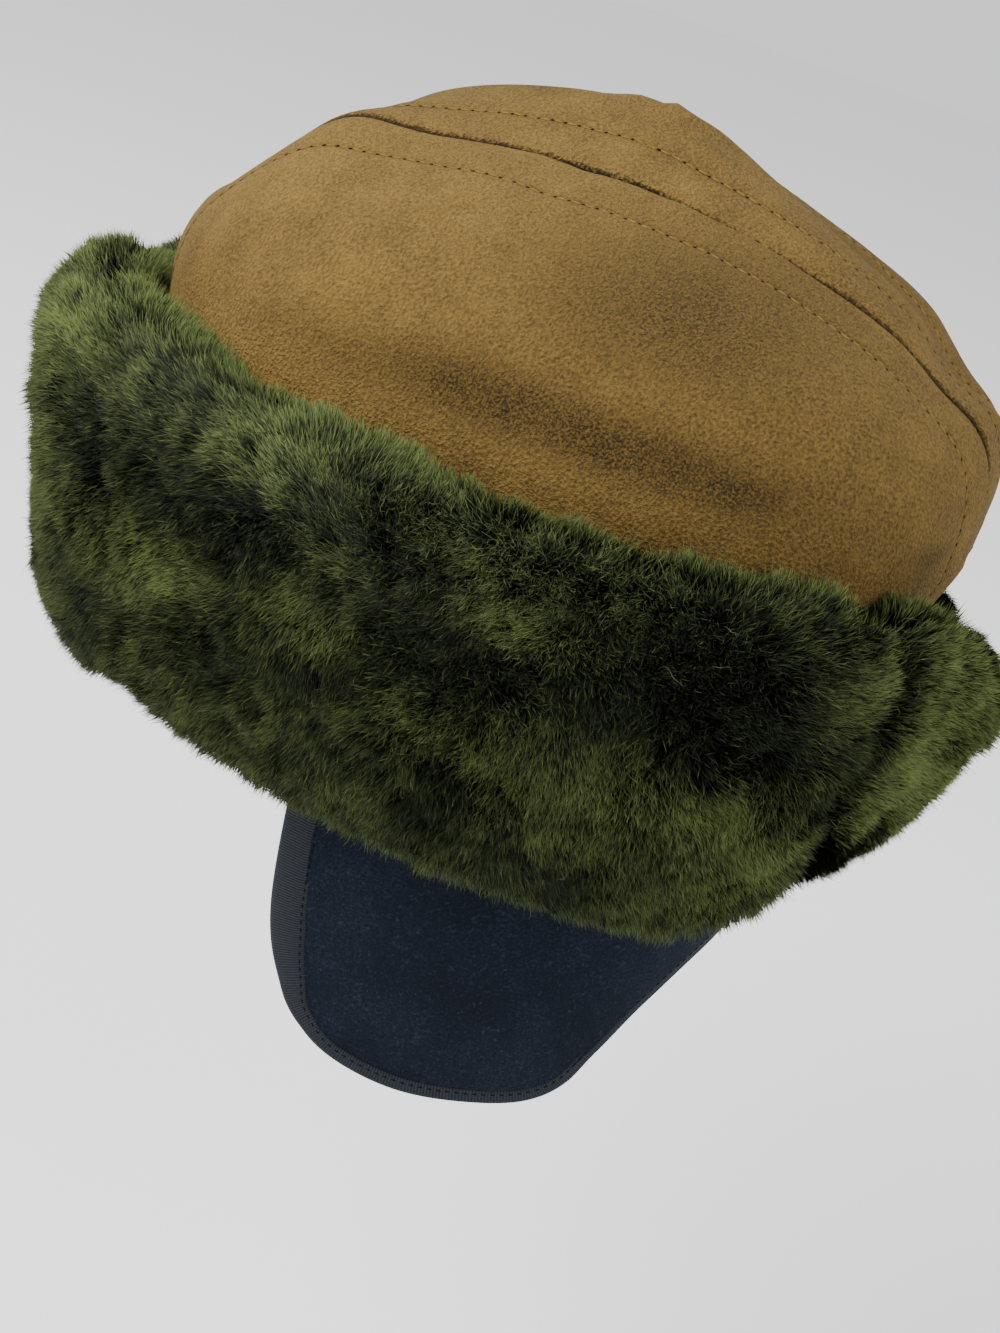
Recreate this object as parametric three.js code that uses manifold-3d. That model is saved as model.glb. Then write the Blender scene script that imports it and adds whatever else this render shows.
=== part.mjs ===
// A winter cap: a suede crown sewn from three panels, a turned-up cuff of deep green pile,
// and one wool ear flap that hangs inside the rim with a ribbon bound round its free edge.
// Millimetres. +Z is up, -Y is the front of the cap and +X the wearer's left.
// The origin is the middle of the head opening, in the plane of the crown's rim.
import * as THREE from "three";
import { mergeVertices } from "three/addons/utils/BufferGeometryUtils.js";
import Module from "manifold-3d";

const wasm = await Module();
wasm.setup();

// Walls and gaps
const SUEDE = 2.6;
const SKIN = 2.0;
const WOOL = 2.4;
const RIBBON = 3.4;
const CLEARANCE = 0.3;

// The crown's outside: the rim, the widest level above the cuff, and the top
const RIM = { side: 88, front: 93, rear: 97 };
const BELLY = { side: 96, front: 111, rear: 108, shift: 5 };
const BELLY_HEIGHT = { front: 70, side: 68, rear: 74 };
const TOP_HEIGHT = 137.8;
const SWELL = { front: 2.7, side: 2.7, rear: 1.3 }; // how late the wall swells, as a power of its height
const CORNER = { front: 2.25, rear: 2.4 }; // superellipse exponent of the plan
const DOME = {
  rise: { front: 1.55, side: 1.84, rear: 1.01 },
  fall: { front: 3.27, side: 2.77, rear: 3.7 },
};

const DENT_FADE = 10; // how late dents and folds fade towards the belly, as a power of the radius

// The seams of the centre strip: how far they lie from the middle, how much they draw in towards
// the rear rim, and the levels between which they do so
const SEAM_X = 29;
const TAPER = { inward: 12.6, from: 1.8, to: 1.15 };

// Dents, swells and folds of the worn crown: where each lies, how far it spreads, how much it rises
const DENTS = [
  { name: "far swell", x: -34, y: 2, spreadX: 29.5, spreadY: 55, rise: 7.2 },
  { name: "near front swell", x: 30.6, y: -69, spreadX: 21.6, spreadY: 16.4, rise: 7.1 },
  { name: "front hollow", x: 5.8, y: -93.3, spreadX: 33.6, spreadY: 24.2, rise: -15.2 },
  { name: "far rear hollow", x: -18.7, y: 65, spreadX: 20.7, spreadY: 39.2, rise: -8.4 },
  { name: "near fold", x: 6.5, y: 5.5, spreadX: 15.9, spreadY: 110, rise: 6.7 },
  { name: "far fold", x: -8.4, y: 15.3, spreadX: 10.5, spreadY: 110, rise: 6.8 },
  { name: "near rear swell", x: 13.2, y: 54, spreadX: 21.3, spreadY: 24.2, rise: 1.5 },
  { name: "rear hollow", x: -20.5, y: 93.2, spreadX: 43.2, spreadY: 10.5, rise: -7.6 },
  { name: "near front corner", x: 52.3, y: -79.1, spreadX: 23.7, spreadY: 17.5, rise: 1.9 },
];

// The cuff by angle from the front, turning to the wearer's left: the height of its lower and
// upper edge, and how far its outer face stands outside the rim at each
const CUFF = [
  { angle: 0, low: 6, high: 69, outLow: 25, outHigh: 36 },
  { angle: 30, low: -1, high: 79, outLow: 23, outHigh: 32 },
  { angle: 60, low: -6, high: 78, outLow: 24, outHigh: 33 },
  { angle: 90, low: -11, high: 77, outLow: 25.5, outHigh: 32 },
  { angle: 125, low: -13, high: 76, outLow: 23.5, outHigh: 34.5 },
  { angle: 150, low: -3.5, high: 71, outLow: 20, outHigh: 31 },
  { angle: 165, low: 2, high: 54, outLow: 24, outHigh: 40 },
  { angle: 180, low: 5, high: 50, outLow: 26, outHigh: 33 },
  { angle: 205, low: 1, high: 38, outLow: 18, outHigh: 20 },
  { angle: 230, low: -3, high: 45, outLow: 20, outHigh: 25 },
  { angle: 270, low: -11, high: 74, outLow: 25.5, outHigh: 32 },
  { angle: 315, low: -3, high: 70, outLow: 24, outHigh: 34 },
  { angle: 360, low: 6, high: 69, outLow: 25, outHigh: 36 },
];
const CUFF_CORNER = 3; // superellipse exponent of the cuff's outer face in plan
const HUG = 0.8; // gap between the crown and the skin, which allows for the facets of both

// Locks of the pile: rows up the outer face, each with its share of height, count and length
const LOCK_ROWS = [
  { up: 0.12, count: 24, rise: 3.5, lean: 4 },
  { up: 0.29, count: 24, rise: 3.5, lean: 6 },
  { up: 0.45, count: 24, rise: 3.5, lean: 6 },
  { up: 0.61, count: 24, rise: 3.5, lean: 5 },
  { up: 0.77, count: 24, rise: 3.5, lean: 1 },
];
const LOCK = { width: 23, height: 15, sunk: 3, sway: 8 };

// The ear flap's free edge, from the front of one lobe round the nape to the other:
// the angle from the front and the depth below the rim
const FLAP_EDGE = [
  { angle: 78, depth: 0 },
  { angle: 79.5, depth: 56 },
  { angle: 85, depth: 80 },
  { angle: 91, depth: 90 },
  { angle: 98, depth: 95 },
  { angle: 109, depth: 97 },
  { angle: 121, depth: 95 },
  { angle: 131, depth: 92 },
  { angle: 137, depth: 86 },
  { angle: 141, depth: 75 },
  { angle: 148, depth: 59 },
  { angle: 159, depth: 47 },
  { angle: 180, depth: 40 },
];
const FLAP_TOP = 14; // the sewn edge lies this far above the rim, inside the crown
const FLAP_SLOPE = 0.06; // how far the flap leans in as it hangs
// The binding's width at the front edge of each lobe and along the rest, and the shares of the edge
// between which it narrows
const BINDING = { front: 10.8, rest: 4.5, from: 0.12, to: 0.21 };

const AROUND = 44;

const radians = THREE.MathUtils.degToRad;

function power(value, exponent) {
  return Math.pow(Math.max(value, 0), exponent);
}

// Front, side or rear value at a share of the way round, where lengthwise is 1 at either end
function byEnd(values, lengthwise, isFront) {
  const end = isFront ? values.front : values.rear;
  return values.side + (end - values.side) * lengthwise;
}

// Superellipse: the lengthwise share that goes with a crosswise share, both from 0 to 1
function lengthwiseShare(across, exponent) {
  return power(1 - power(Math.abs(across), exponent), 1 / exponent);
}

function dentRise(x, y) {
  let rise = 0;
  for (const dent of DENTS) {
    const u = (x - dent.x) / dent.spreadX;
    const v = (y - dent.y) / dent.spreadY;
    rise += dent.rise * Math.exp(-u * u - v * v);
  }
  return rise;
}

// How far a seam lies from the middle at a level
function seamAt(level, isFront) {
  const share = THREE.MathUtils.smoothstep(TAPER.from - level, 0, TAPER.from - TAPER.to);
  return isFront ? SEAM_X : SEAM_X - TAPER.inward * share;
}

// The crown's ring at a level: 0 at the rim, 1 at the belly, 2 at the middle of the top
function crownRing(level, inset) {
  if (level < 1) {
    const reach = (end) => RIM[end] - inset + (BELLY[end] - RIM[end]) * power(level, SWELL[end]);
    return {
      half: reach("side"),
      front: reach("front"),
      rear: reach("rear"),
      middle: BELLY.shift * level,
      radius: 1,
    };
  }
  const radius = Math.cos(((level - 1) * Math.PI) / 2);
  return {
    half: (BELLY.side - inset) * radius,
    front: (BELLY.front - inset) * radius,
    rear: (BELLY.rear - inset) * radius,
    middle: BELLY.shift,
    radius,
  };
}

// A point of the crown: its level, its crosswise share from -1 to 1, and which end it lies at
function crownPoint(level, across, isFront, inset) {
  const ring = crownRing(level, inset);
  const exponent = isFront ? CORNER.front : CORNER.rear;
  const along = lengthwiseShare(across, exponent);
  const x = ring.half * across;
  const y = isFront ? ring.middle - ring.front * along : ring.middle + ring.rear * along;
  const lengthwise = (along * along) / (along * along + across * across + 1e-9);
  const belly = byEnd(BELLY_HEIGHT, lengthwise, isFront);
  if (level < 1) {
    return new THREE.Vector3(x, y, belly * level);
  }
  const rise = byEnd(DOME.rise, lengthwise, isFront);
  const fall = byEnd(DOME.fall, lengthwise, isFront);
  const dome = power(1 - power(ring.radius, rise), 1 / fall);
  const fade = 1 - power(ring.radius, DENT_FADE);
  const extra = dentRise(x, y) * fade;
  return new THREE.Vector3(x, y, belly + (TOP_HEIGHT - inset - belly) * dome + extra);
}

// The level at which the crown is no wider than x
function levelAt(x, inset) {
  return 1 + (Math.acos(Math.abs(x) / (BELLY.side - inset)) * 2) / Math.PI;
}

// A closed solid through loops of points: around when the last loop meets the first,
// or capped at both ends, where a loop holds an outer run and then an inner run back
function loft(loops, around) {
  const count = loops[0].length;
  const vertices = loops.flat();
  const faces = [];
  const spans = around ? loops.length : loops.length - 1;
  for (let i = 0; i < spans; i += 1) {
    const here = i * count;
    const next = ((i + 1) % loops.length) * count;
    for (let j = 0; j < count; j += 1) {
      const k = (j + 1) % count;
      faces.push([here + j, next + j, next + k], [here + j, next + k, here + k]);
    }
  }
  if (!around) {
    const last = (loops.length - 1) * count;
    for (let j = 0; j < count / 2 - 1; j += 1) {
      const back = count - 1 - j;
      faces.push([j, j + 1, back - 1], [j, back - 1, back]);
      faces.push([last + j, last + back - 1, last + j + 1], [last + j, last + back, last + back - 1]);
    }
  }
  return closedGeometry(vertices, faces);
}

// Merges shared vertices, drops faces without area and turns the faces outward
function closedGeometry(vertices, faces) {
  const loose = new THREE.BufferGeometry().setFromPoints(vertices);
  loose.setIndex(faces.flat());
  const merged = mergeVertices(loose, 1e-4);
  const index = merged.getIndex().array;
  const kept = [];
  for (let i = 0; i < index.length; i += 3) {
    const [a, b, c] = [index[i], index[i + 1], index[i + 2]];
    if (a !== b && b !== c && c !== a) {
      kept.push(a, b, c);
    }
  }
  merged.setIndex(kept);
  return signedVolume(merged) < 0 ? turned(merged) : merged;
}

function signedVolume(geometry) {
  const place = geometry.getAttribute("position");
  const index = geometry.getIndex().array;
  const corners = [new THREE.Vector3(), new THREE.Vector3(), new THREE.Vector3()];
  let total = 0;
  for (let i = 0; i < index.length; i += 3) {
    corners.forEach((corner, k) => corner.fromBufferAttribute(place, index[i + k]));
    total += corners[0].dot(corners[1].clone().cross(corners[2]));
  }
  return total / 6;
}

function turned(geometry) {
  const index = Array.from(geometry.getIndex().array);
  for (let i = 0; i < index.length; i += 3) {
    [index[i + 1], index[i + 2]] = [index[i + 2], index[i + 1]];
  }
  geometry.setIndex(index);
  return geometry;
}

function toSolid(geometry) {
  const bare = geometry.clone();
  bare.deleteAttribute("normal");
  bare.deleteAttribute("uv");
  const merged = mergeVertices(bare, 1e-4);
  return new wasm.Manifold(
    new wasm.Mesh({
      numProp: 3,
      vertProperties: new Float32Array(merged.getAttribute("position").array),
      triVerts: new Uint32Array(merged.getIndex().array),
    }),
  );
}

function toGeometry(solid) {
  const mesh = solid.getMesh();
  const geometry = new THREE.BufferGeometry();
  geometry.setAttribute("position", new THREE.BufferAttribute(mesh.vertProperties, 3));
  geometry.setIndex(new THREE.BufferAttribute(mesh.triVerts, 1));
  return geometry;
}

// The levels of the points along a seam, from the rim to the seam's middle over the top
const SEAM_LEVELS = 13;

function seamLevel(step, x, inset) {
  return levelAt(x, inset) * Math.sin((Math.PI * step) / (2 * SEAM_LEVELS));
}

// A side panel: runs of points from the seam at the front round the side to the seam at the rear,
// one run for each level of the seam
const PANEL_STEPS = 22;

function panelRun(step, side, inset) {
  const level = seamLevel(step, SEAM_X + CLEARANCE / 2, inset);
  const ring = crownRing(level, inset);
  const run = [];
  for (let j = 0; j <= PANEL_STEPS; j += 1) {
    const turn = (2 * j) / PANEL_STEPS - 1;
    const isFront = turn < 0;
    const exponent = isFront ? CORNER.front : CORNER.rear;
    const start = Math.min((seamAt(level, isFront) + CLEARANCE / 2) / ring.half, 1);
    const first = Math.asin(power(start, exponent / 2));
    const angle = Math.PI / 2 - (Math.PI / 2 - first) * Math.abs(turn);
    const across = power(Math.sin(angle), 2 / exponent);
    run.push(crownPoint(level, side * Math.max(across, start), isFront, inset));
  }
  return run;
}

function sidePanel(side) {
  const loops = [];
  for (let step = 0; step <= SEAM_LEVELS; step += 1) {
    loops.push([...panelRun(step, side, 0), ...panelRun(step, side, SUEDE).reverse()]);
  }
  return loft(loops, false);
}

// The centre strip: columns across it, each running from the front rim over the top to the rear rim.
// Its rows meet the seams at the same levels as the panels' runs do
const STRIP_COLUMNS = 8;

function stripRow(row, inset) {
  const isFront = row <= SEAM_LEVELS;
  const level = seamLevel(isFront ? row : 2 * SEAM_LEVELS - row, SEAM_X - CLEARANCE / 2, inset);
  const width = seamAt(level, isFront) - CLEARANCE / 2;
  const exponent = isFront ? CORNER.front : CORNER.rear;
  const half = BELLY.side - inset;
  const seam = power(width / half, exponent);
  const reach = power(crownRing(level, inset).radius, exponent);
  // How far the row has turned over the top: its lengthwise share against that of the belly's ring
  const turned = power(Math.max(reach - seam, 0) / (1 - seam), 1 / exponent);
  const run = [];
  for (let j = 0; j <= STRIP_COLUMNS; j += 1) {
    const x = width * ((2 * j) / STRIP_COLUMNS - 1);
    if (level < 1) {
      run.push(crownPoint(level, x / crownRing(level, inset).half, isFront, inset));
    } else {
      const across = Math.abs(x) / half;
      const along = lengthwiseShare(across, exponent) * turned;
      const radius = power(power(across, exponent) + power(along, exponent), 1 / exponent);
      const here = 1 + (Math.acos(Math.min(radius, 1)) * 2) / Math.PI;
      run.push(crownPoint(here, radius > 0 ? (Math.sign(x) * across) / radius : 0, isFront, inset));
    }
  }
  return run;
}

function centreStrip() {
  const loops = [];
  for (let row = 0; row <= 2 * SEAM_LEVELS; row += 1) {
    loops.push([...stripRow(row, 0), ...stripRow(row, SUEDE).reverse()]);
  }
  return loft(loops, false);
}

// A row of the cuff table at any angle, eased between the rows by a cosine
function cuffAt(angle) {
  const degrees = ((angle % 360) + 360) % 360;
  const next = Math.max(1, CUFF.findIndex((row) => row.angle >= degrees));
  const [from, to] = [CUFF[next - 1], CUFF[next]];
  const share = (degrees - from.angle) / (to.angle - from.angle);
  const eased = (1 - Math.cos(share * Math.PI)) / 2;
  const mixed = {};
  for (const key of Object.keys(from)) {
    mixed[key] = from[key] + (to[key] - from[key]) * eased;
  }
  return mixed;
}

// Unit direction at an angle from the front, drawn out to a superellipse of half size 1
function planAt(angle, exponent) {
  const [s, c] = [Math.sin(radians(angle)), -Math.cos(radians(angle))];
  const reach = power(power(Math.abs(s), exponent) + power(Math.abs(c), exponent), -1 / exponent);
  return { x: s * reach, y: c * reach, isFront: c < 0 };
}

// A point at an angle and height just outside the crown, which the cuff hugs up to the belly
function huggingPoint(angle, height) {
  const isFront = Math.cos(radians(angle)) > 0;
  const plan = planAt(angle, isFront ? CORNER.front : CORNER.rear);
  const belly = byEnd(BELLY_HEIGHT, (plan.y * plan.y) / (plan.x * plan.x + plan.y * plan.y), isFront);
  const ring = crownRing(Math.min(height / belly, 0.999), -HUG);
  const end = isFront ? ring.front : ring.rear;
  return new THREE.Vector3(plan.x * ring.half, ring.middle + plan.y * end, height);
}

// A point of the cuff: across from 0 at the crown to 1 outside and then some way further out,
// up from 0 to 1
function cuffPoint(angle, across, up, further) {
  const row = cuffAt(angle);
  const height = row.low + (row.high - row.low) * up;
  const out = row.outLow + (row.outHigh - row.outLow) * up;
  const plan = planAt(angle, CUFF_CORNER);
  const end = plan.isFront ? RIM.front : RIM.rear;
  const outer = new THREE.Vector3(plan.x * (RIM.side + out), plan.y * (end + out), height);
  const inner = huggingPoint(angle, height);
  const outward = outer.clone().sub(inner).normalize();
  return inner.lerp(outer, across).addScaledVector(outward, further);
}

function ringOf(section, steps) {
  const loops = [];
  for (let i = 0; i < steps; i += 1) {
    loops.push(section.map(([across, up, further]) => cuffPoint((360 * i) / steps, across, up, further)));
  }
  return loft(loops, true);
}

// The skin lies on the crown, and the pile covers the rest of the cuff and rolls over its top
const BAND_TOP = 0.86;
const BAND_ROWS = [0.02, 0.3, 0.6, BAND_TOP];

function cuffBand() {
  const inner = BAND_ROWS.map((up) => [0, up, 0]);
  const outer = BAND_ROWS.map((up) => [0, up, SKIN]).reverse();
  return ringOf([...inner, ...outer], AROUND);
}

function pileBacking() {
  const face = SKIN + CLEARANCE;
  const section = [
    ...BAND_ROWS.map((up) => [0, up, face]).reverse(),
    [0.27, 0, 0],
    [0.67, 0, 0],
    [0.9, 0.05, 0],
    [1, 0.2, 0],
    [1, 0.5, 0],
    [1, 0.82, 0],
    [0.9, 0.95, 0],
    [0.67, 1, 0],
    [0.3, 1, 0],
    [0.07, 0.96, 0],
    [0, 0.9, 0],
    [0, BAND_TOP + 0.01, face],
  ];
  return ringOf(section, AROUND);
}

// One lock: a flat pyramid whose foot is sunk in the backing and whose tip leans along the nap
function lock(angle, row, sway) {
  const root = cuffPoint(angle, 1, row.up, 0);
  const outward = cuffPoint(angle, 1, row.up, 1).sub(root);
  const along = cuffPoint(angle + 4, 1, row.up, 0).sub(root).normalize();
  const upward = outward.clone().cross(along).normalize();
  const foot = root.clone().addScaledVector(outward, -LOCK.sunk);
  const tip = root.clone().addScaledVector(outward, row.rise).addScaledVector(along, LOCK.sway * sway);
  tip.addScaledVector(upward, -row.lean);
  const corners = [
    foot.clone().addScaledVector(along, LOCK.width),
    foot.clone().addScaledVector(upward, LOCK.height),
    foot.clone().addScaledVector(along, -LOCK.width),
    foot.clone().addScaledVector(upward, -LOCK.height),
  ];
  const tips = corners.map(() => tip.clone());
  return loft([corners, tips], false);
}

// The pile with all its locks fused to it
function furCuff() {
  let pile = toSolid(pileBacking());
  LOCK_ROWS.forEach((row, number) => {
    for (let i = 0; i < row.count; i += 1) {
      const angle = (360 * (i + (number % 2) / 2)) / row.count;
      const sway = Math.sin(7 * radians(angle) + number * 2.1);
      pile = pile.add(toSolid(lock(angle, row, sway)));
    }
  });
  // Locks that lean over each other can close off a pocket, whose shell is left out
  const shells = pile.decompose();
  return toGeometry(shells.reduce((best, shell) => (shell.volume() > best.volume() ? shell : best)));
}

// A point of the hanging flap: its angle from the front, its height and its offset from mid-wall
function flapPoint(angle, height, offset) {
  const inward = SUEDE + CLEARANCE + WOOL / 2 - offset;
  const hang = FLAP_SLOPE * Math.min(height, 0);
  const isFront = Math.cos(radians(angle)) > 0;
  const plan = planAt(angle, isFront ? CORNER.front : CORNER.rear);
  const end = isFront ? RIM.front : RIM.rear;
  return new THREE.Vector3(plan.x * (RIM.side - inward + hang), plan.y * (end - inward + hang), height);
}

// The free edge as a smooth curve in angle and height, from one lobe's front to the other's
const MM_PER_DEGREE = 1.5;

function edgeCurve() {
  const left = FLAP_EDGE.map((row) => new THREE.Vector2(row.angle * MM_PER_DEGREE, -row.depth));
  const right = left.slice(0, -1).map((p) => new THREE.Vector2(360 * MM_PER_DEGREE - p.x, p.y));
  return new THREE.SplineCurve([...left, ...right.reverse()]);
}

// The edge moved inward by a distance, in angle and height
function edgePoint(curve, share, inward) {
  const place = curve.getPointAt(share);
  const along = curve.getTangentAt(share);
  const x = place.x - along.y * inward;
  const y = place.y + along.x * inward;
  return { angle: x / MM_PER_DEGREE, height: y };
}

// The binding's width at a share of the edge
function bindingWidth(share) {
  const fromFront = Math.min(share, 1 - share);
  const narrowed = THREE.MathUtils.smoothstep(fromFront, BINDING.from, BINDING.to);
  return BINDING.front + (BINDING.rest - BINDING.front) * narrowed;
}

const FLAP_STEPS = 54;
const FLAP_ROWS = [0, 0.3, 0.6, 0.85, 1];

function earFlap() {
  const curve = edgeCurve();
  const first = FLAP_EDGE[0].angle + (BINDING.front + CLEARANCE) / MM_PER_DEGREE;
  const loops = [];
  for (let i = 0; i <= FLAP_STEPS; i += 1) {
    const share = i / FLAP_STEPS;
    const edge = edgePoint(curve, share, bindingWidth(share) + CLEARANCE);
    const top = { angle: first + (360 - 2 * first) * share, height: FLAP_TOP };
    const face = (offset) =>
      FLAP_ROWS.map((down) => {
        const angle = top.angle + (edge.angle - top.angle) * down;
        const height = top.height + (Math.min(edge.height, -CLEARANCE) - top.height) * down;
        return flapPoint(angle, height, offset);
      });
    loops.push([...face(WOOL / 2), ...face(-WOOL / 2).reverse()]);
  }
  return loft(loops, false);
}

const BINDING_STEPS = 90;

function flapBinding() {
  const curve = edgeCurve();
  const loops = [];
  for (let i = 0; i <= BINDING_STEPS; i += 1) {
    const share = i / BINDING_STEPS;
    const face = (offset) =>
      [0, bindingWidth(share)].map((inward) => {
        const edge = edgePoint(curve, share, inward);
        return flapPoint(edge.angle, Math.min(edge.height, 0) - CLEARANCE, offset);
      });
    loops.push([...face(RIBBON / 2), ...face(-RIBBON / 2).reverse()]);
  }
  return loft(loops, false);
}

// Materials
const FINISH = {
  suede: { color: "#7f6536", roughness: 0.95 },
  skin: { color: "#5a4a30", roughness: 0.9 },
  pile: { color: "#2e3a1e", roughness: 0.85 },
  wool: { color: "#19202a", roughness: 0.95 },
  ribbon: { color: "#14171c", roughness: 0.7 },
};

function piece(name, geometry, finish) {
  geometry.computeVertexNormals();
  const material = new THREE.MeshStandardMaterial({ ...FINISH[finish], metalness: 0 });
  const mesh = new THREE.Mesh(geometry, material);
  mesh.name = name;
  return mesh;
}

const cap = new THREE.Group();
cap.name = "winter_cap";
cap.add(piece("crown_side_left", sidePanel(1), "suede"));
cap.add(piece("crown_side_right", sidePanel(-1), "suede"));
cap.add(piece("crown_strip", centreStrip(), "suede"));
cap.add(piece("cuff_band", cuffBand(), "skin"));
cap.add(piece("fur_cuff", furCuff(), "pile"));
cap.add(piece("ear_flap", earFlap(), "wool"));
cap.add(piece("flap_binding", flapBinding(), "ribbon"));

export default cap;
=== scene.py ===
"""A winter cap: suede crown, deep pile cuff and wool ear flaps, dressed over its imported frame.

Shapes are worked out in millimetres, in the frame of the CAD part: +Z up, -Y the front of the
cap, +X the wearer's left, the origin in the middle of the head opening. A mesh is put in at
0.001, in metres.
"""

import math

import bmesh
import bpy
import numpy as np
from mathutils import Matrix, Vector
from mathutils.bvhtree import BVHTree


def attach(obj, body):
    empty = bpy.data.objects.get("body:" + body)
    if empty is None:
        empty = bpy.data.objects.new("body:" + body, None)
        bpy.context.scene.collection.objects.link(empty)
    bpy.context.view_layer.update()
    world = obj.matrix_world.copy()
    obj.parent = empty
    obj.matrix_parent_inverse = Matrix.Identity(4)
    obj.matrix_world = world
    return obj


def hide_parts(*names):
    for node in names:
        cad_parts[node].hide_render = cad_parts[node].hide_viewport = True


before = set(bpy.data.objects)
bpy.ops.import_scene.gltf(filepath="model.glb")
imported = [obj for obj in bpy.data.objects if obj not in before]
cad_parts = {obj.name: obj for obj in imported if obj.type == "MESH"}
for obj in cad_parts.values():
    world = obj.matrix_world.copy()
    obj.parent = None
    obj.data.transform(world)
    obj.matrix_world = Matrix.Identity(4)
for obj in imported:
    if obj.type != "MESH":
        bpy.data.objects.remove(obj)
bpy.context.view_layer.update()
MM = 0.001

# Crown: the rim, the widest level above the cuff, and the top
RIM = {"side": 88.0, "front": 93.0, "rear": 97.0}
BELLY = {"side": 96.0, "front": 111.0, "rear": 108.0, "shift": 5.0}
BELLY_HEIGHT = {"front": 70.0, "side": 68.0, "rear": 74.0}
TOP_HEIGHT = 137.8
SWELL = {"front": 2.7, "side": 2.7, "rear": 1.3}
CORNER = {"front": 2.25, "rear": 2.4}
DOME_RISE = {"front": 1.55, "side": 1.84, "rear": 1.01}
DOME_FALL = {"front": 3.27, "side": 2.77, "rear": 3.7}
DENT_FADE = 10
SUEDE = 2.6
SEAM_X = 29.0
SEAM_LAP = 0.4  # how far the panels lap at a seam, so that no light comes through
CROWN_MIDDLE = (0, 5, 50)
TAPER = {"inward": 12.6, "from": 1.8, "to": 1.15}

# Dents, swells and folds of the worn crown: x, y, spread in x, spread in y, rise
DENTS = [
    (-34, 2, 29.5, 55, 7.2),
    (30.6, -69, 21.6, 16.4, 7.1),
    (5.8, -93.3, 33.6, 24.2, -15.2),
    (-18.7, 65, 20.7, 39.2, -8.4),
    (6.5, 5.5, 15.9, 110, 6.7),
    (-8.4, 15.3, 10.5, 110, 6.8),
    (13.2, 54, 21.3, 24.2, 1.5),
    (-20.5, 93.2, 43.2, 10.5, -7.6),
    (52.3, -79.1, 23.7, 17.5, 1.9),
]

# Topstitching: how far each row lies from its seam, the pitch of the stitches, and the length, half
# thickness and height above the suede of the thread and of the dark capsules painted as shade in the needle
# holes
SIDE_MARGIN = 16.4
STRIP_MARGIN = 14.5
STITCH_PITCH = 3.5
TOPSTITCH = {"length": 2.5, "thick": 0.31, "lift": 0.04}
NEEDLE_HOLE_SHADE = {"length": 1.2, "thick": 0.52, "lift": -0.18}

# Cuff by angle from the front: lower and upper edge, and how far its outer face stands out at each
CUFF = np.array([
    (0, 6, 69, 25, 36),
    (30, -1, 79, 23, 32),
    (60, -6, 78, 24, 33),
    (90, -11, 77, 25.5, 32),
    (125, -13, 76, 23.5, 34.5),
    (150, -3.5, 71, 20, 31),
    (165, 2, 54, 24, 40),
    (180, 5, 50, 26, 33),
    (205, 1, 38, 18, 20),
    (230, -3, 45, 20, 25),
    (270, -11, 74, 25.5, 32),
    (315, -3, 70, 24, 34),
    (360, 6, 69, 25, 36),
], float)
CUFF_CORNER = 3
HUG = 0.8
SKIN = 2.0

# Ear flap: its free edge by angle from the front and depth below the rim, from one lobe to the nape
FLAP_EDGE = np.array([
    (78, 0), (79.5, 56), (85, 80), (91, 90), (98, 95), (109, 97), (121, 95),
    (131, 92), (137, 86), (141, 75), (148, 59), (159, 47), (180, 40),
], float)
FLAP_TOP = 14.0
FLAP_SLOPE = 0.06
WOOL = 2.4
RIBBON = 3.4
BINDING = {"front": 10.8, "rest": 4.5, "from": 0.12, "to": 0.21}
MM_PER_DEGREE = 1.5
CLEARANCE = 0.3


# Meshes

def put_in(name, points, *faces):
    """A smooth mesh object from points in millimetres and arrays of faces, a face to a row."""
    mesh = bpy.data.meshes.new(name)
    places = (np.reshape(points, (-1, 3)) * MM).astype(np.float32)
    corners = np.concatenate([np.ravel(rows) for rows in faces]).astype(np.int32)
    sizes = np.concatenate([np.full(len(rows), np.shape(rows)[1], np.int32) for rows in faces])
    mesh.vertices.add(len(places))
    mesh.vertices.foreach_set("co", places.ravel())
    mesh.loops.add(len(corners))
    mesh.loops.foreach_set("vertex_index", corners)
    mesh.polygons.add(len(sizes))
    mesh.polygons.foreach_set("loop_start", np.cumsum(sizes) - sizes)
    mesh.update(calc_edges=True)
    mesh.validate()
    mesh.polygons.foreach_set("use_smooth", np.ones(len(mesh.polygons), bool))
    piece = bpy.data.objects.new(name, mesh)
    bpy.context.scene.collection.objects.link(piece)
    return piece


def grid_faces(rows, columns, close_rows=False, close_columns=False):
    """Quads between neighbouring rows and columns of a grid, which may close on itself either way."""
    i = np.arange(rows if close_rows else rows - 1)[:, None]
    j = np.arange(columns if close_columns else columns - 1)[None, :]
    below, right = (i + 1) % rows, (j + 1) % columns
    corners = [i * columns + j, i * columns + right, below * columns + right, below * columns + j]
    return np.stack([np.broadcast_to(c, (i.size, j.size)).ravel() for c in corners], 1)


def set_uv(piece, u, v, name="OFBake"):
    """A UV map read from one u and one v for each vertex."""
    mesh = piece.data
    corner = np.empty(len(mesh.loops), np.int32)
    mesh.loops.foreach_get("vertex_index", corner)
    layer = mesh.uv_layers.new(name=name)
    layer.uv.foreach_set("vector", np.stack([np.ravel(u), np.ravel(v)], 1)[corner].astype(np.float32).ravel())


def set_mask(piece, name, value):
    """A number for each vertex, as an attribute that a material can read."""
    layer = piece.data.attributes.new(name, "FLOAT", "POINT")
    layer.data.foreach_set("value", np.ravel(value).astype(np.float32))


def grid_normals(points, centre):
    """Unit normals of a grid of points: the cross product of its two slopes, turned away from a centre."""
    normal = unit(np.cross(np.gradient(points, axis=0), np.gradient(points, axis=1)))
    return normal * np.sign((normal * (points - centre)).sum(2, keepdims=True).mean())


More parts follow.
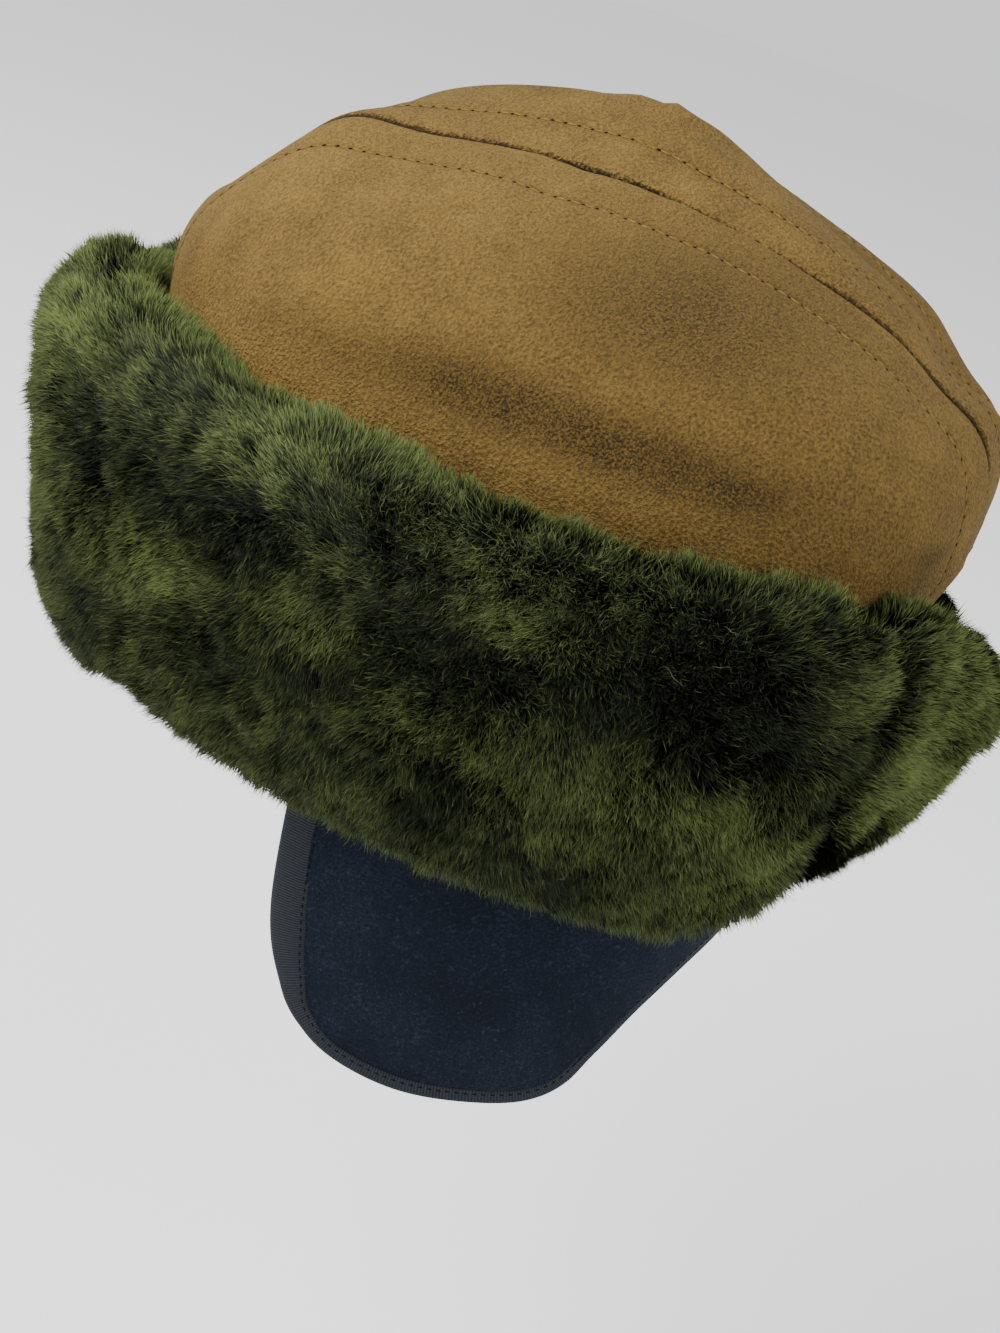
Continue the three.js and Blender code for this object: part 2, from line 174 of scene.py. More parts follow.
def unit(vectors):
    """Vectors drawn to length 1."""
    return vectors / np.maximum(np.linalg.norm(vectors, axis=-1, keepdims=True), 1e-12)


def bell(value, middle, spread):
    """A bump of height 1 at middle that falls away like exp(-(distance / spread) squared)."""
    return np.exp(-((value - middle) / spread) ** 2)


def bells(u, v, rows):
    """The sum of bells over two coordinates: middle u, middle v, spread in u, spread in v, height."""
    return sum(row[4] * bell(u, row[0], row[2]) * bell(v, row[1], row[3]) for row in rows)


LATTICE = 400


def smooth_noise(u, v, cell_u, cell_v, seed, wrap=None):
    """Noise from -1 to 1 on a plane: random values on a lattice, blended by smooth steps between them.
    wrap is the number of lattice cells after which it repeats along u."""
    lattice = np.random.default_rng(seed).uniform(-1, 1, (LATTICE, LATTICE))
    x, y = u / cell_u, v / cell_v
    i, j = np.floor(x).astype(int), np.floor(y).astype(int)
    fx, fy = x - i, y - j
    fx, fy = fx * fx * (3 - 2 * fx), fy * fy * (3 - 2 * fy)
    i, next_i = i % (wrap or LATTICE), (i + 1) % (wrap or LATTICE)
    j, next_j = j % LATTICE, (j + 1) % LATTICE
    low = lattice[i, j] * (1 - fx) + lattice[next_i, j] * fx
    high = lattice[i, next_j] * (1 - fx) + lattice[next_i, next_j] * fx
    return low * (1 - fy) + high * fy


# The crown's surface

def by_end(values, lengthwise, front):
    """The side value, moved towards the front or rear value by the lengthwise share."""
    return values["side"] + (np.where(front, values["front"], values["rear"]) - values["side"]) * lengthwise


def crown_reach(level, end, further=0.0):
    """Half size of the crown towards one end: it swells from rim to belly, then closes as a cosine."""
    climb = np.clip(level, 0, 1)
    wall = RIM[end] + further + (BELLY[end] - RIM[end]) * climb ** SWELL[end]
    return wall * np.cos((np.maximum(level, 1) - 1) * math.pi / 2)


def crown_surface(level, across, front):
    """Points of the crown. Level is 0 at the rim, 1 at the belly and 2 at the middle of the top; across
    runs from -1 to 1. The plan is a superellipse whose half sizes change with level, and above the
    belly the height is a dome, (1 - radius ** rise) ** (1 / fall), plus the folds and dents."""
    exponent = np.where(front, CORNER["front"], CORNER["rear"])
    along = np.maximum(1 - np.abs(across) ** exponent, 0) ** (1 / exponent)
    x = crown_reach(level, "side") * across
    middle = BELLY["shift"] * np.clip(level, 0, 1)
    y = np.where(
        front,
        middle - crown_reach(level, "front") * along,
        middle + crown_reach(level, "rear") * along,
    )
    lengthwise = along**2 / (along**2 + across**2 + 1e-9)
    belly = by_end(BELLY_HEIGHT, lengthwise, front)
    radius = np.cos((np.maximum(level, 1) - 1) * math.pi / 2)
    rise, fall = by_end(DOME_RISE, lengthwise, front), by_end(DOME_FALL, lengthwise, front)
    dome = np.maximum(1 - radius**rise, 0) ** (1 / fall)
    above = belly + (TOP_HEIGHT - belly) * dome + bells(x, y, DENTS) * (1 - radius**DENT_FADE)
    return np.stack([x, y, np.where(level < 1, belly * level, above)], -1)


def smooth_step(value):
    """0 below 0 and 1 above 1, with a smooth rise between."""
    share = np.clip(value, 0, 1)
    return share * share * (3 - 2 * share)


def level_at(x):
    """The level at which the crown is no wider than x."""
    return 1 + np.arccos(np.minimum(np.abs(x) / BELLY["side"], 1)) * 2 / math.pi


def seam_at(level, front):
    """How far the seams lie from the middle: the strip between them tapers towards the rear rim."""
    share = smooth_step((TAPER["from"] - level) / (TAPER["from"] - TAPER["to"]))
    return SEAM_X - np.where(front, 0, TAPER["inward"] * share)


# Creases of the near side above the cuff: middle y, height, spread in y, spread in height, depth
CREASES = [
    (12, 93, 36, 6, 1.7),
    (56, 91.5, 22, 6, 1.4),
    (-24, 90, 24, 5, 0.7),
    (30, 81, 70, 4, -0.9),
]


def seam_depth(y):
    """How deep the seams lie along the crown, which also sets how dark their painted shade is: fully over the
    top, half as deep towards front and rear.
    """
    return 0.55 + 0.45 * bell(y, 11, 40)


# Soft waves of the leather: size round the crown, size in height, rise
LEATHER_WAVES = [
    (46, 38, 0.9),
    (15, 12, 0.28),
    (6, 5, 0.10),
]
MEAN_REACH = 95.0


def suede_relief(points, seam_distance, margin, seed):
    """How far the leather stands out from its plain shape: it rolls under at the seam, most of all over
    the top, puffs up beside it, is drawn in along the topstitching, and lies in soft waves elsewhere."""
    x, y, z = np.moveaxis(points, -1, 0)
    deep = seam_depth(y)
    relief = -1.6 * deep * np.exp(-np.maximum(seam_distance, 0) / 0.8)
    relief += 0.45 * deep * bell(seam_distance, 5.0, 4.0)
    pull = 0.42 + 0.15 * smooth_noise(y, z, 9, 11, seed)
    relief -= pull * bell(seam_distance, margin, 1.9)
    side = np.arctan2(x, -y) * MEAN_REACH
    for k, (size_round, size_up, rise) in enumerate(LEATHER_WAVES, 1):
        relief += rise * smooth_noise(side, z, size_round, size_up, seed + k)
    return relief - bells(y, z, CREASES) * (np.abs(x) > SEAM_X)


# Places where the nap is darkened by rubbing, most of them along the creases above the cuff, where they are
# also painted crease shade: middle y, height, spread in y, spread in height, strength
RUBS_AND_CREASE_SHADE = [
    (4, 94.5, 24, 7.0, 0.9),
    (26, 94, 18, 5.5, 0.6),
    (49, 93, 18, 7.0, 0.95),
    (68, 90.5, 12, 5.0, 0.6),
    (52, 119, 26, 12, 0.50),
    (26, 121, 26, 12, 0.55),
    (-32, 90, 18, 7.0, 0.45),
    (105, 83, 3.5, 2.5, 0.9),
]


def rub_and_crease_shade(points):
    """How dark each point of a side panel is painted: nap darkened by rubbing, and painted shade in the
    creases above the cuff.
    """
    x, y, z = np.moveaxis(points, -1, 0)
    return np.clip(bells(y, z, RUBS_AND_CREASE_SHADE) * (np.abs(x) > SEAM_X), 0, 1)


PANEL_ROWS = 84
PANEL_COLUMNS = 124


def side_panel(name, side):
    """A side panel of the crown. Rows run from the rim to the middle of the seam, spaced by a sine;
    columns run round from the seam at the front to the seam at the rear."""
    share = np.sin(np.linspace(0, math.pi / 2, PANEL_ROWS))[:, None]
    level = level_at(SEAM_X - SEAM_LAP / 2) * share
    turn = np.linspace(-1, 1, PANEL_COLUMNS)[None, :]
    front = turn < 0
    edge = seam_at(level, front) - SEAM_LAP / 2
    exponent = np.where(front, CORNER["front"], CORNER["rear"])
    start = np.minimum(edge / crown_reach(level, "side"), 1)
    first = np.arcsin(start ** (exponent / 2))
    across = np.maximum(np.sin(math.pi / 2 - (math.pi / 2 - first) * np.abs(turn)) ** (2 / exponent), start)
    points = crown_surface(level, side * across, np.broadcast_to(front, across.shape))
    points[-1] = points[-1].mean(0)
    normals = grid_normals(points[:-1], CROWN_MIDDLE)
    normals = np.concatenate([normals, normals[-1:]])
    normals[-1] = unit(normals[-1].mean(0))
    from_seam = np.abs(points[..., 0]) - edge
    relief = suede_relief(points, from_seam, SIDE_MARGIN, 11 + side) * np.clip(level / 0.25, 0, 1)
    moved = points + normals * relief[..., None]
    return finish_panel(name, moved, rub_and_crease_shade(points), from_seam, SIDE_MARGIN)


STRIP_ACROSS = 34
STRIP_ALONG = 150
WALL_SHARE = 0.26


def strip_level(x, front, wall, turn):
    """The level of a point of the strip that lies at x, on a row that has climbed the wall by a share and
    then turned over the top by an angle."""
    exponent = np.where(front, CORNER["front"], CORNER["rear"])
    share = np.abs(x) / BELLY["side"]
    along = np.maximum(1 - share**exponent, 0) ** (1 / exponent) * np.cos(turn)
    radius = (share**exponent + along**exponent) ** (1 / exponent)
    level = np.where(wall < 1, wall, 1 + np.arccos(np.clip(radius, 0, 1)) * 2 / math.pi)
    return level, radius


def strip_grid(across_share, along_share):
    """Points of the centre strip and their seams' distance from the middle. Its columns keep their share
    of the strip's width, and its rows climb the front wall, cross the top by equal turns and go down the
    rear wall."""
    front = along_share < 0
    climb = 1 - np.abs(along_share)
    wall = np.clip(climb / WALL_SHARE, 0, 1)
    turn = np.clip((climb - WALL_SHARE) / (1 - WALL_SHARE), 0, 1) * math.pi / 2
    seam = np.full(across_share.shape, SEAM_X)
    for _ in range(4):
        seam = seam_at(strip_level(seam, front, wall, turn)[0], front)
    x = (seam + SEAM_LAP / 2) * across_share
    level, radius = strip_level(x, front, wall, turn)
    reach = np.where(wall < 1, crown_reach(wall, "side"), BELLY["side"] * np.maximum(radius, 1e-9))
    return crown_surface(level, np.clip(x / reach, -1, 1), front), seam


def centre_strip(name):
    """The centre strip of the crown, from the front rim over the top to the rear rim."""
    bunch = np.linspace(-1, 1, STRIP_ACROSS)[None, :]
    across = np.sin(bunch * math.pi / 2) * 0.35 + bunch * 0.65
    along = np.linspace(-1, 1, STRIP_ALONG)[:, None]
    across, along = np.broadcast_arrays(across, along)
    points, seam = strip_grid(across, along)
    normals = grid_normals(points, CROWN_MIDDLE)
    from_seam = seam + SEAM_LAP / 2 - np.abs(points[..., 0])
    relief = suede_relief(points, from_seam, STRIP_MARGIN, 31) * np.clip((1 - np.abs(along)) / 0.08, 0, 1)
    moved = points + normals * relief[..., None]
    return finish_panel(name, moved, 0 * from_seam, from_seam, STRIP_MARGIN)


def finish_panel(name, points, dark, from_seam, margin):
    """Makes a panel's outer face from its grid and gives it the leather's thickness inwards. Its masks tell
    the finish where the nap is darkened by rubbing and where crease shade is painted, how many millimetres
    away the seam and the topstitching are, how deep the seam lies, which sets how dark the painted seam
    shade is, and how much paler the tan is made towards the front."""
    rows, columns = points.shape[:2]
    piece = put_in(name, points, grid_faces(rows, columns))
    set_mask(piece, "rub_and_crease_shade", dark)
    set_mask(piece, "from_seam", from_seam)
    set_mask(piece, "from_stitches", from_seam - margin)
    set_mask(piece, "seam_depth", seam_depth(points[..., 1]))
    set_mask(piece, "paler", -points[..., 1] / 100)
    tidy_mesh(piece, CROWN_MIDDLE)
    wall = piece.modifiers.new("wall", "SOLIDIFY")
    wall.thickness = SUEDE * MM
    wall.offset = -1
    wall.use_even_offset = False
    return piece


def tidy_mesh(piece, centre):
    """Merges points that meet at a pole and turns the faces away from a centre in millimetres."""
    work = bmesh.new()
    work.from_mesh(piece.data)
    bmesh.ops.remove_doubles(work, verts=work.verts, dist=2e-6)
    bmesh.ops.dissolve_degenerate(work, edges=work.edges, dist=1e-7)
    middle = Vector(centre) * MM
    outward = sum(f.normal.dot(f.calc_center_median() - middle) * f.calc_area() for f in work.faces)
    if outward < 0:
        bmesh.ops.reverse_faces(work, faces=work.faces)
    work.to_mesh(piece.data)
    work.free()


# Topstitching

def crown_at(level, x, front):
    """Points of the crown at a level and a distance x from the middle."""
    return crown_surface(level, np.clip(x / crown_reach(level, "side"), -1, 1), front)


def seam_line(side, margin, samples=900):
    """Points beside a seam, from the front rim over the top to the rear rim, with the leather's outward
    normals: the cross product of its slopes across and along. The margin is positive on the side panel
    and negative on the strip, and the points lie on the leather with its relief."""
    level = np.linspace(0.35, float(level_at(SEAM_X + margin)) - 0.001, samples)
    points, normals = [], []
    for is_front in (True, False):
        front = np.full(samples, is_front)
        x = side * (seam_at(level, front) + margin)
        base = crown_at(level, x, front)
        across = crown_at(level, x - side * 0.4, front) - base
        along = crown_at(level - 0.004, x, front) - base
        normal = unit(np.cross(across, along))
        normal *= np.sign((normal * (base - np.array(CROWN_MIDDLE))).sum(1, keepdims=True))
        seed = 11 + side if margin > 0 else 31
        relief = suede_relief(base, np.full(samples, abs(margin)), abs(margin), seed)
        points.append(base + normal * relief[:, None])
        normals.append(normal)
    return [np.concatenate([near, far[::-1]]) for near, far in (points, normals)]


def run_along(points):
    """Distances along a row of points."""
    return np.concatenate([[0], np.cumsum(np.linalg.norm(np.diff(points, axis=0), axis=1))])


def along_line(line, distances, carried=None):
    """Points of a line at distances along it, and the line's length. With carried, the values that go
    with the line's points are read there instead."""
    run = run_along(line)
    values = line if carried is None else carried
    return np.stack([np.interp(distances, run, column) for column in values.T], -1), run[-1]


CAPSULE_AROUND = 5
CAPSULE_ALONG = 4


def capsules(name, middles, along, up, length, thick, flat=0.7):
    """Many small capsules joined in one mesh. Each is a row of rings whose radius shrinks towards its
    ends, laid along one direction and flattened along another."""
    side = unit(np.cross(along, up))
    turn = np.linspace(0, 2 * math.pi, CAPSULE_AROUND, endpoint=False)
    place = np.linspace(-1, 1, CAPSULE_ALONG)
    radius = thick * np.maximum(1 - np.abs(place) ** 3, 0.12) ** 0.5
    offset_side = radius[:, None] * np.cos(turn)
    offset_up = radius[:, None] * np.sin(turn) * flat
    points = (
        middles[:, None, None, :]
        + along[:, None, None, :] * (place[None, :, None, None] * length / 2)
        + side[:, None, None, :] * offset_side[None, :, :, None]
        + up[:, None, None, :] * offset_up[None, :, :, None]
    )
    per = CAPSULE_ALONG * CAPSULE_AROUND
    first = (np.arange(len(middles)) * per)[:, None, None]
    quads = (grid_faces(CAPSULE_ALONG, CAPSULE_AROUND, close_columns=True) + first).reshape(-1, 4)
    ends = np.stack([np.arange(CAPSULE_AROUND)[::-1], np.arange(CAPSULE_AROUND) + per - CAPSULE_AROUND])
    caps = (ends + first).reshape(-1, CAPSULE_AROUND)
    return put_in(name, points, quads, caps)


def stitch_rows(name, rows, stitch, shift=0.0):
    """Stitches along rows beside the seams, each row a panel, a side and a margin, laid at the stitch's
    pitch. Each is set down on the panel's own face, at its height above it, and dips at one end."""
    middles, along, up = [], [], []
    for panel, side, margin in rows:
        line, normals = seam_line(side, margin)
        total = run_along(line)[-1]
        places = np.arange(STITCH_PITCH, total - STITCH_PITCH, STITCH_PITCH) + shift
        wobble = 0.15 * smooth_noise(places, places * 0, 9, 9, int(abs(margin)))
        at, _ = along_line(line, places)
        ahead, _ = along_line(line, places + 1)
        normal = unit(along_line(line, places, normals)[0])
        direction = unit(ahead - at)
        at = set_down(at + np.cross(direction, normal) * wobble[:, None], normal, panel)
        middles.append(at + normal * stitch["lift"])
        along.append(unit(direction - normal * 0.05))
        up.append(normal)
    laid = map(np.concatenate, (middles, along, up))
    return capsules(name, *laid, stitch["length"], stitch["thick"])


def set_down(points, normals, panel):
    """Moves points along their normals on to a panel's outer face."""
    corners = [vertex.co for vertex in panel.data.vertices]
    tree = BVHTree.FromPolygons(corners, [face.vertices for face in panel.data.polygons])
    starts = (points + normals * 4) * MM
    hits = [tree.ray_cast(Vector(start), Vector(-normal))[0] for start, normal in zip(starts, normals)]
    return np.array([point if hit is None else np.array(hit) / MM for point, hit in zip(points, hits)])


# The cuff

def cuff_row(angle):
    """The cuff table at any angle, eased between its rows by a cosine: low, high, outLow, outHigh."""
    degrees = np.mod(angle, 360)
    after = np.clip(np.searchsorted(CUFF[:, 0], degrees, side="left"), 1, len(CUFF) - 1)
    before = after - 1
    share = (degrees - CUFF[before, 0]) / (CUFF[after, 0] - CUFF[before, 0])
    eased = ((1 - np.cos(share * math.pi)) / 2)[..., None]
    return np.moveaxis(CUFF[before, 1:] * (1 - eased) + CUFF[after, 1:] * eased, -1, 0)


def plan_at(angle, exponent):
    """The direction at an angle from the front, drawn out to a superellipse of half size 1."""
    turn = np.radians(angle)
    s, c = np.sin(turn), -np.cos(turn)
    reach = (np.abs(s) ** exponent + np.abs(c) ** exponent) ** (-1 / exponent)
    return s * reach, c * reach


def hugging_point(angle, height):
    """Points just outside the crown at an angle and a height, which the cuff hugs up to the belly."""
    front = np.cos(np.radians(angle)) > 0
    x, y = plan_at(angle, np.where(front, CORNER["front"], CORNER["rear"]))
    belly = by_end(BELLY_HEIGHT, y**2 / (x**2 + y**2), front)
    level = np.minimum(height / belly, 0.999)
    end = np.where(front, crown_reach(level, "front", HUG), crown_reach(level, "rear", HUG))
    middle = BELLY["shift"] * np.clip(level, 0, 1)
    return np.stack([x * crown_reach(level, "side", HUG), middle + y * end, height], -1)


def cuff_point(angle, across, up, further=0.0):
    """Points of the cuff: across from 0 at the crown to 1 outside, then further out in millimetres;
    up from 0 at the lower edge to 1 at the upper."""
    low, high, out_low, out_high = cuff_row(angle)
    height = low + (high - low) * up
    out = out_low + (out_high - out_low) * up
    x, y = plan_at(angle, CUFF_CORNER)
    end = np.where(np.cos(np.radians(angle)) > 0, RIM["front"], RIM["rear"])
    outer = np.stack([x * (RIM["side"] + out), y * (end + out), height], -1)
    inner = hugging_point(angle, height)
    outward = unit(outer - inner)
    return inner + (outer - inner) * np.asarray(across)[..., None] + outward * np.asarray(further)[..., None]


BAND_AROUND = 180
BAND_TOP = 0.86


def cuff_band(name):
    """The skin that is turned up round the crown: a closed wall between two rings of rows."""
    rows = np.array([0.02, 0.2, 0.4, 0.6, 0.75, BAND_TOP])
    up = np.concatenate([rows, rows[::-1]])[:, None]
    further = np.concatenate([rows * 0, rows * 0 + SKIN])[:, None]
    angle = np.linspace(0, 360, BAND_AROUND, endpoint=False)[None, :]
    angle, up, further = np.broadcast_arrays(angle, up, further)
    points = cuff_point(angle, 0 * up, up, further)
    piece = put_in(name, points, grid_faces(len(up), BAND_AROUND, close_rows=True, close_columns=True))
    turn_outwards(piece)
    return piece


def turn_outwards(piece):
    """Turns a closed mesh's faces outwards."""
    work = bmesh.new()
    work.from_mesh(piece.data)
    bmesh.ops.recalc_face_normals(work, faces=work.faces)
    work.to_mesh(piece.data)
    work.free()


# The pile's outer face in section: a boxy round whose phase runs from the lower inner edge over the
# outside, at 0, to the upper inner edge, in quarter turns
PILE_FROM = -1.28
PILE_TO = 1.55
BOXY = 4.6

# Where the roots lie in the section: share across at the crown's side, how much of the section's width
# and of its height they spread over
ROOTS = {"inner": 0.13, "wide": 0.2, "high": 0.72}


def pile_outline(phase):
    """The section's share across and share up at a phase, on a superellipse."""
    turn = phase * math.pi / 2
    c, s = np.cos(turn), np.sin(turn)
    across = 0.5 + 0.5 * np.sign(c) * np.abs(c) ** (2 / BOXY)
    up = 0.5 + 0.5 * np.sign(s) * np.abs(s) ** (2 / BOXY)
    return across, up


def pile_frame(angle, phase):
    """Roots and tops of the pile, and the directions outward, round the cuff and up its face. Over the
    upper edge the last one turns towards the crown, under the lower edge away from it."""
    across, up = pile_outline(phase)
    top = cuff_point(angle, across, up)
    root = cuff_point(angle, ROOTS["inner"] + ROOTS["wide"] * across, 0.5 + (up - 0.5) * ROOTS["high"])
    outward = unit(top - root)
    round_it = cuff_point(angle + 0.5, across, up) - cuff_point(angle - 0.5, across, up)
    round_it = unit(round_it - outward * (round_it * outward).sum(-1, keepdims=True))
    return root, top, outward, round_it, np.cross(outward, round_it)


# How the pile lies on each side: angle, share up, spread in degrees, spread in share, lean round,
# lean up, tone from -1 dark to 1 light, painted shade where the fibres point into the view and painted light
# where they lie across it
NAP_STRENGTH = 1.35
NAPS = [
    (47, 0.95, 6, 0.08, -0.4, 0.5, 0.65),
    (20, 0.90, 10, 0.14, -0.2, 0.3, 0.4),
    (77, 0.93, 4.5, 0.08, -0.8, 0.3, 0.85),
    (84, 1.00, 4, 0.05, 0.3, 0.3, 0.4),
    (142, 0.93, 3, 0.06, -0.4, 0.3, 0.5),
    (137, 0.84, 5, 0.10, 0.4, 0.3, 0.45),
    (105, 0.81, 4.5, 0.06, -0.5, -0.2, 0.45),
    (88, 0.58, 4, 0.05, 0.1, -0.1, 0.3),
    (82, 0.62, 4, 0.06, -0.2, -0.1, 0.35),
    (66, 0.50, 7, 0.12, -0.3, -0.2, 0.5),
    (103, 0.42, 9, 0.08, -0.1, -0.2, 0.4),
    (124, 0.46, 7, 0.10, 0.1, -0.2, 0.75),
    (134, 0.34, 4, 0.20, 0.2, -0.2, 0.6),
    (112, 0.30, 6, 0.06, 0.1, -0.2, 0.35),
    (151, 0.80, 6, 0.35, 0.4, 0.2, 0.9),
    (148, 0.35, 3, 0.25, 0.4, -0.1, 0.8),
    (163, 0.55, 9, 0.40, 0.4, 0.0, 0.9),
    (55, 0.77, 4, 0.11, 0.2, 0.1, -0.8),
    (67, 0.78, 5, 0.08, 0.2, 0.0, -0.95),
    (75, 0.76, 5, 0.08, 0.1, 0.0, -0.95),
    (90, 0.86, 7, 0.06, 0.1, 0.1, -0.55),
    (98, 0.64, 6, 0.09, 0.1, 0.0, -1.2),
    (95, 0.74, 3, 0.06, -0.2, 0.0, -0.9),
    (111, 0.70, 6, 0.05, 0.1, 0.0, -1.0),
    (119, 0.87, 5, 0.07, 0.0, 0.1, -1.0),
    (125, 0.76, 5.5, 0.10, 0.1, 0.0, -1.1),
    (128, 0.66, 4, 0.06, 0.0, 0.0, -0.8),
    (117, 0.74, 4, 0.06, 0.1, 0.0, -0.5),
    (74, 0.34, 4, 0.09, 0.1, -0.1, -0.85),
    (85, 0.45, 5, 0.06, 0.1, -0.1, -0.55),
    (92, 0.28, 4, 0.07, 0.1, -0.1, -0.3),
    (102, 0.23, 2.5, 0.10, 0.1, -0.1, -0.95),
    (116, 0.16, 3, 0.06, 0.0, -0.1, -0.85),
    (57, 0.25, 3, 0.10, 0.1, -0.1, -0.45),
    (150, 0.80, 1.6, 0.08, 0.0, 0.0, -0.9),
    (143.5, 0.5, 2.6, 0.6, 0.0, 0.0, -0.9),
]

# The fold in the pile at the rear corners: angle, how far it leans over the cuff's height, width, depth
GROOVE = {"angle": 143.5, "lean": 3.0, "wide": 2.6, "deep": 6.0}

# The length that the cuff's outer face is unrolled to, round the cap
ROUND = 760.0

# Waves of the nap: size in millimetres, lean, tone
WAVES = [
    (34, 0.28, 0.14),
    (15, 0.32, 0.11),
    (8, 0.20, 0.07),
    (4.2, 0.16, 0.07),
]

# Tufts, where fibres draw together at their tips: size in millimetres, pull, rise in millimetres, tone,
# lighter over the tufts and painted shade in the partings between them
TUFTS = [
    (4.6, 0.08, 0.6, 0.18),
    (2.3, 0.08, 0.4, 0.20),
]


TUFT_SLOPE_STEP = 0.2


def around(arc, high, size, seed):
    """Noise over the unrolled pile that meets itself round the cuff."""
    cells = int(round(ROUND / size))
    return smooth_noise(arc, high, ROUND / cells, size, seed, cells)


def nap_field(angle, phase, arc):
    """Lean round the cuff, lean up it, tone and extra length at each root. Each is a sum of the named
    patches, the same on both sides, of waves of noise, and of tufts: there the lean is the slope of a
    noise, so that fibres draw together over its peaks and part over its hollows. The tone of the named
    patches is painted light and shade, and so is the lighter tone where the pile turns over its edges and
    the darker tone in the tufts' partings. The tone is pressed towards light or dark, so that patches have
    clear edges."""
    up = pile_outline(phase)[1]
    high = np.interp(phase, *FACE_RUN)
    over = np.clip(phase - 0.7, 0, 0.5) / 0.5
    under = np.clip(-0.75 - phase, 0, 0.4) / 0.4
    lean_round = np.zeros(angle.shape)
    lean_up = -0.06 * (1 - over) + 0.30 * over - 0.22 * np.clip(0.1 - phase, 0, 1)
    # Painted light where the pile turns over its upper and lower edges and lies across the view.
    tone = 0.45 * over + 0.95 * under - 0.12
    more = 1.0 * over
    for middle, height, spread, spread_up, to_side, to_top, light in NAPS:
        for sign, place in ((1, middle), (-1, 360 - middle)):
            near = bell(angle, place, spread) * bell(up, height, spread_up)
            lean_round = lean_round + sign * to_side * near
            lean_up = lean_up + to_top * near
            tone = tone + NAP_STRENGTH * light * near
    for k, (size, lean, light) in enumerate(WAVES):
        lean_round = lean_round + lean * around(arc, high, size, 10 + k)
        lean_up = lean_up + lean * around(arc, high, size, 20 + k)
        tone = tone + light * around(arc, high, size, 30 + k)
    for k, (size, pull, rise, light) in enumerate(TUFTS):
        here = around(arc, high, size, 40 + k)
        slope_round = (around(arc + TUFT_SLOPE_STEP, high, size, 40 + k) - here) / TUFT_SLOPE_STEP
        slope_up = (around(arc, high + TUFT_SLOPE_STEP, size, 40 + k) - here) / TUFT_SLOPE_STEP
        lean_round = lean_round + pull * size * slope_round
        lean_up = lean_up + pull * size * slope_up
        tone = tone + light * here
        more = more + rise * here
    return lean_round, lean_up, np.tanh(1.9 * tone), more


def arc_table():
    """Angles and the distance round the cuff's outer face up to each, scaled to ROUND in all."""
    angle = np.linspace(0, 360, 1441)
    run = run_along(cuff_point(angle, np.ones(1441), np.full(1441, 0.5)))
    return angle, run / run[-1] * ROUND


def face_table():
    """Phases of the pile's outline and the distance up the side of the cuff to each."""
    phase = np.linspace(PILE_FROM, PILE_TO, 200)
    return phase, run_along(cuff_point(np.full(200, 90.0), *pile_outline(phase)))


ARC_ANGLE, ARC_RUN = arc_table()
FACE_RUN = face_table()

# A fibre: width at its start, shortest and longest part that shows, how far its start and its tip follow
# the lean, the scatter of both, and how far tips stand past the outline, on average and give or take
FIBRE_WIDTH = 0.34
FIBRE_SHOWS = (3.0, 5.6)
FOLLOWS = {"start": 0.3, "tip": 1.3}
SCATTER = {"start": 0.06, "tip": 0.30}
STANDS_OUT = (1.3, 0.7)

# A fibre's shade: at tone 0, for a tone of 1, scatter, and the share of pale fibres, painted glints on tips
# that catch the light, and how pale they are
SHADE = {"middle": 0.36, "tone": 0.37, "scatter": 0.17, "glint_share": 0.05, "pale": 0.5}


def groove_at(angle, up):
    """How far the pile dips into the fold at the cuff's rear corners, in millimetres."""
    place = GROOVE["angle"] + GROOVE["lean"] * (0.5 - up)
    return GROOVE["deep"] * (bell(angle, place, GROOVE["wide"]) + bell(angle, 360 - place, GROOVE["wide"]))


STRETCHES = 4
FIBRES = 188000  # fibres in each stretch of the pile


def spread_phases(draw, count):
    """Phases of the pile's section, drawn evenly along its face and rather evenly over its rounds."""
    over_all = PILE_FROM + (PILE_TO - PILE_FROM) * draw.uniform(0, 1, count)
    level = draw.uniform(0.05, 0.95, count) * 2 - 1
    on_face = np.arcsin(np.sign(level) * np.abs(level) ** (BOXY / 2)) * 2 / math.pi
    return np.where(draw.uniform(0, 1, count) < 0.62, on_face, over_all)


def scatter(draw, round_it, rise, spread):
    """A chance lean for each fibre."""
    chance = draw.normal(0, spread, (len(round_it), 2))
    return round_it * chance[:, :1] + rise * chance[:, 1:]


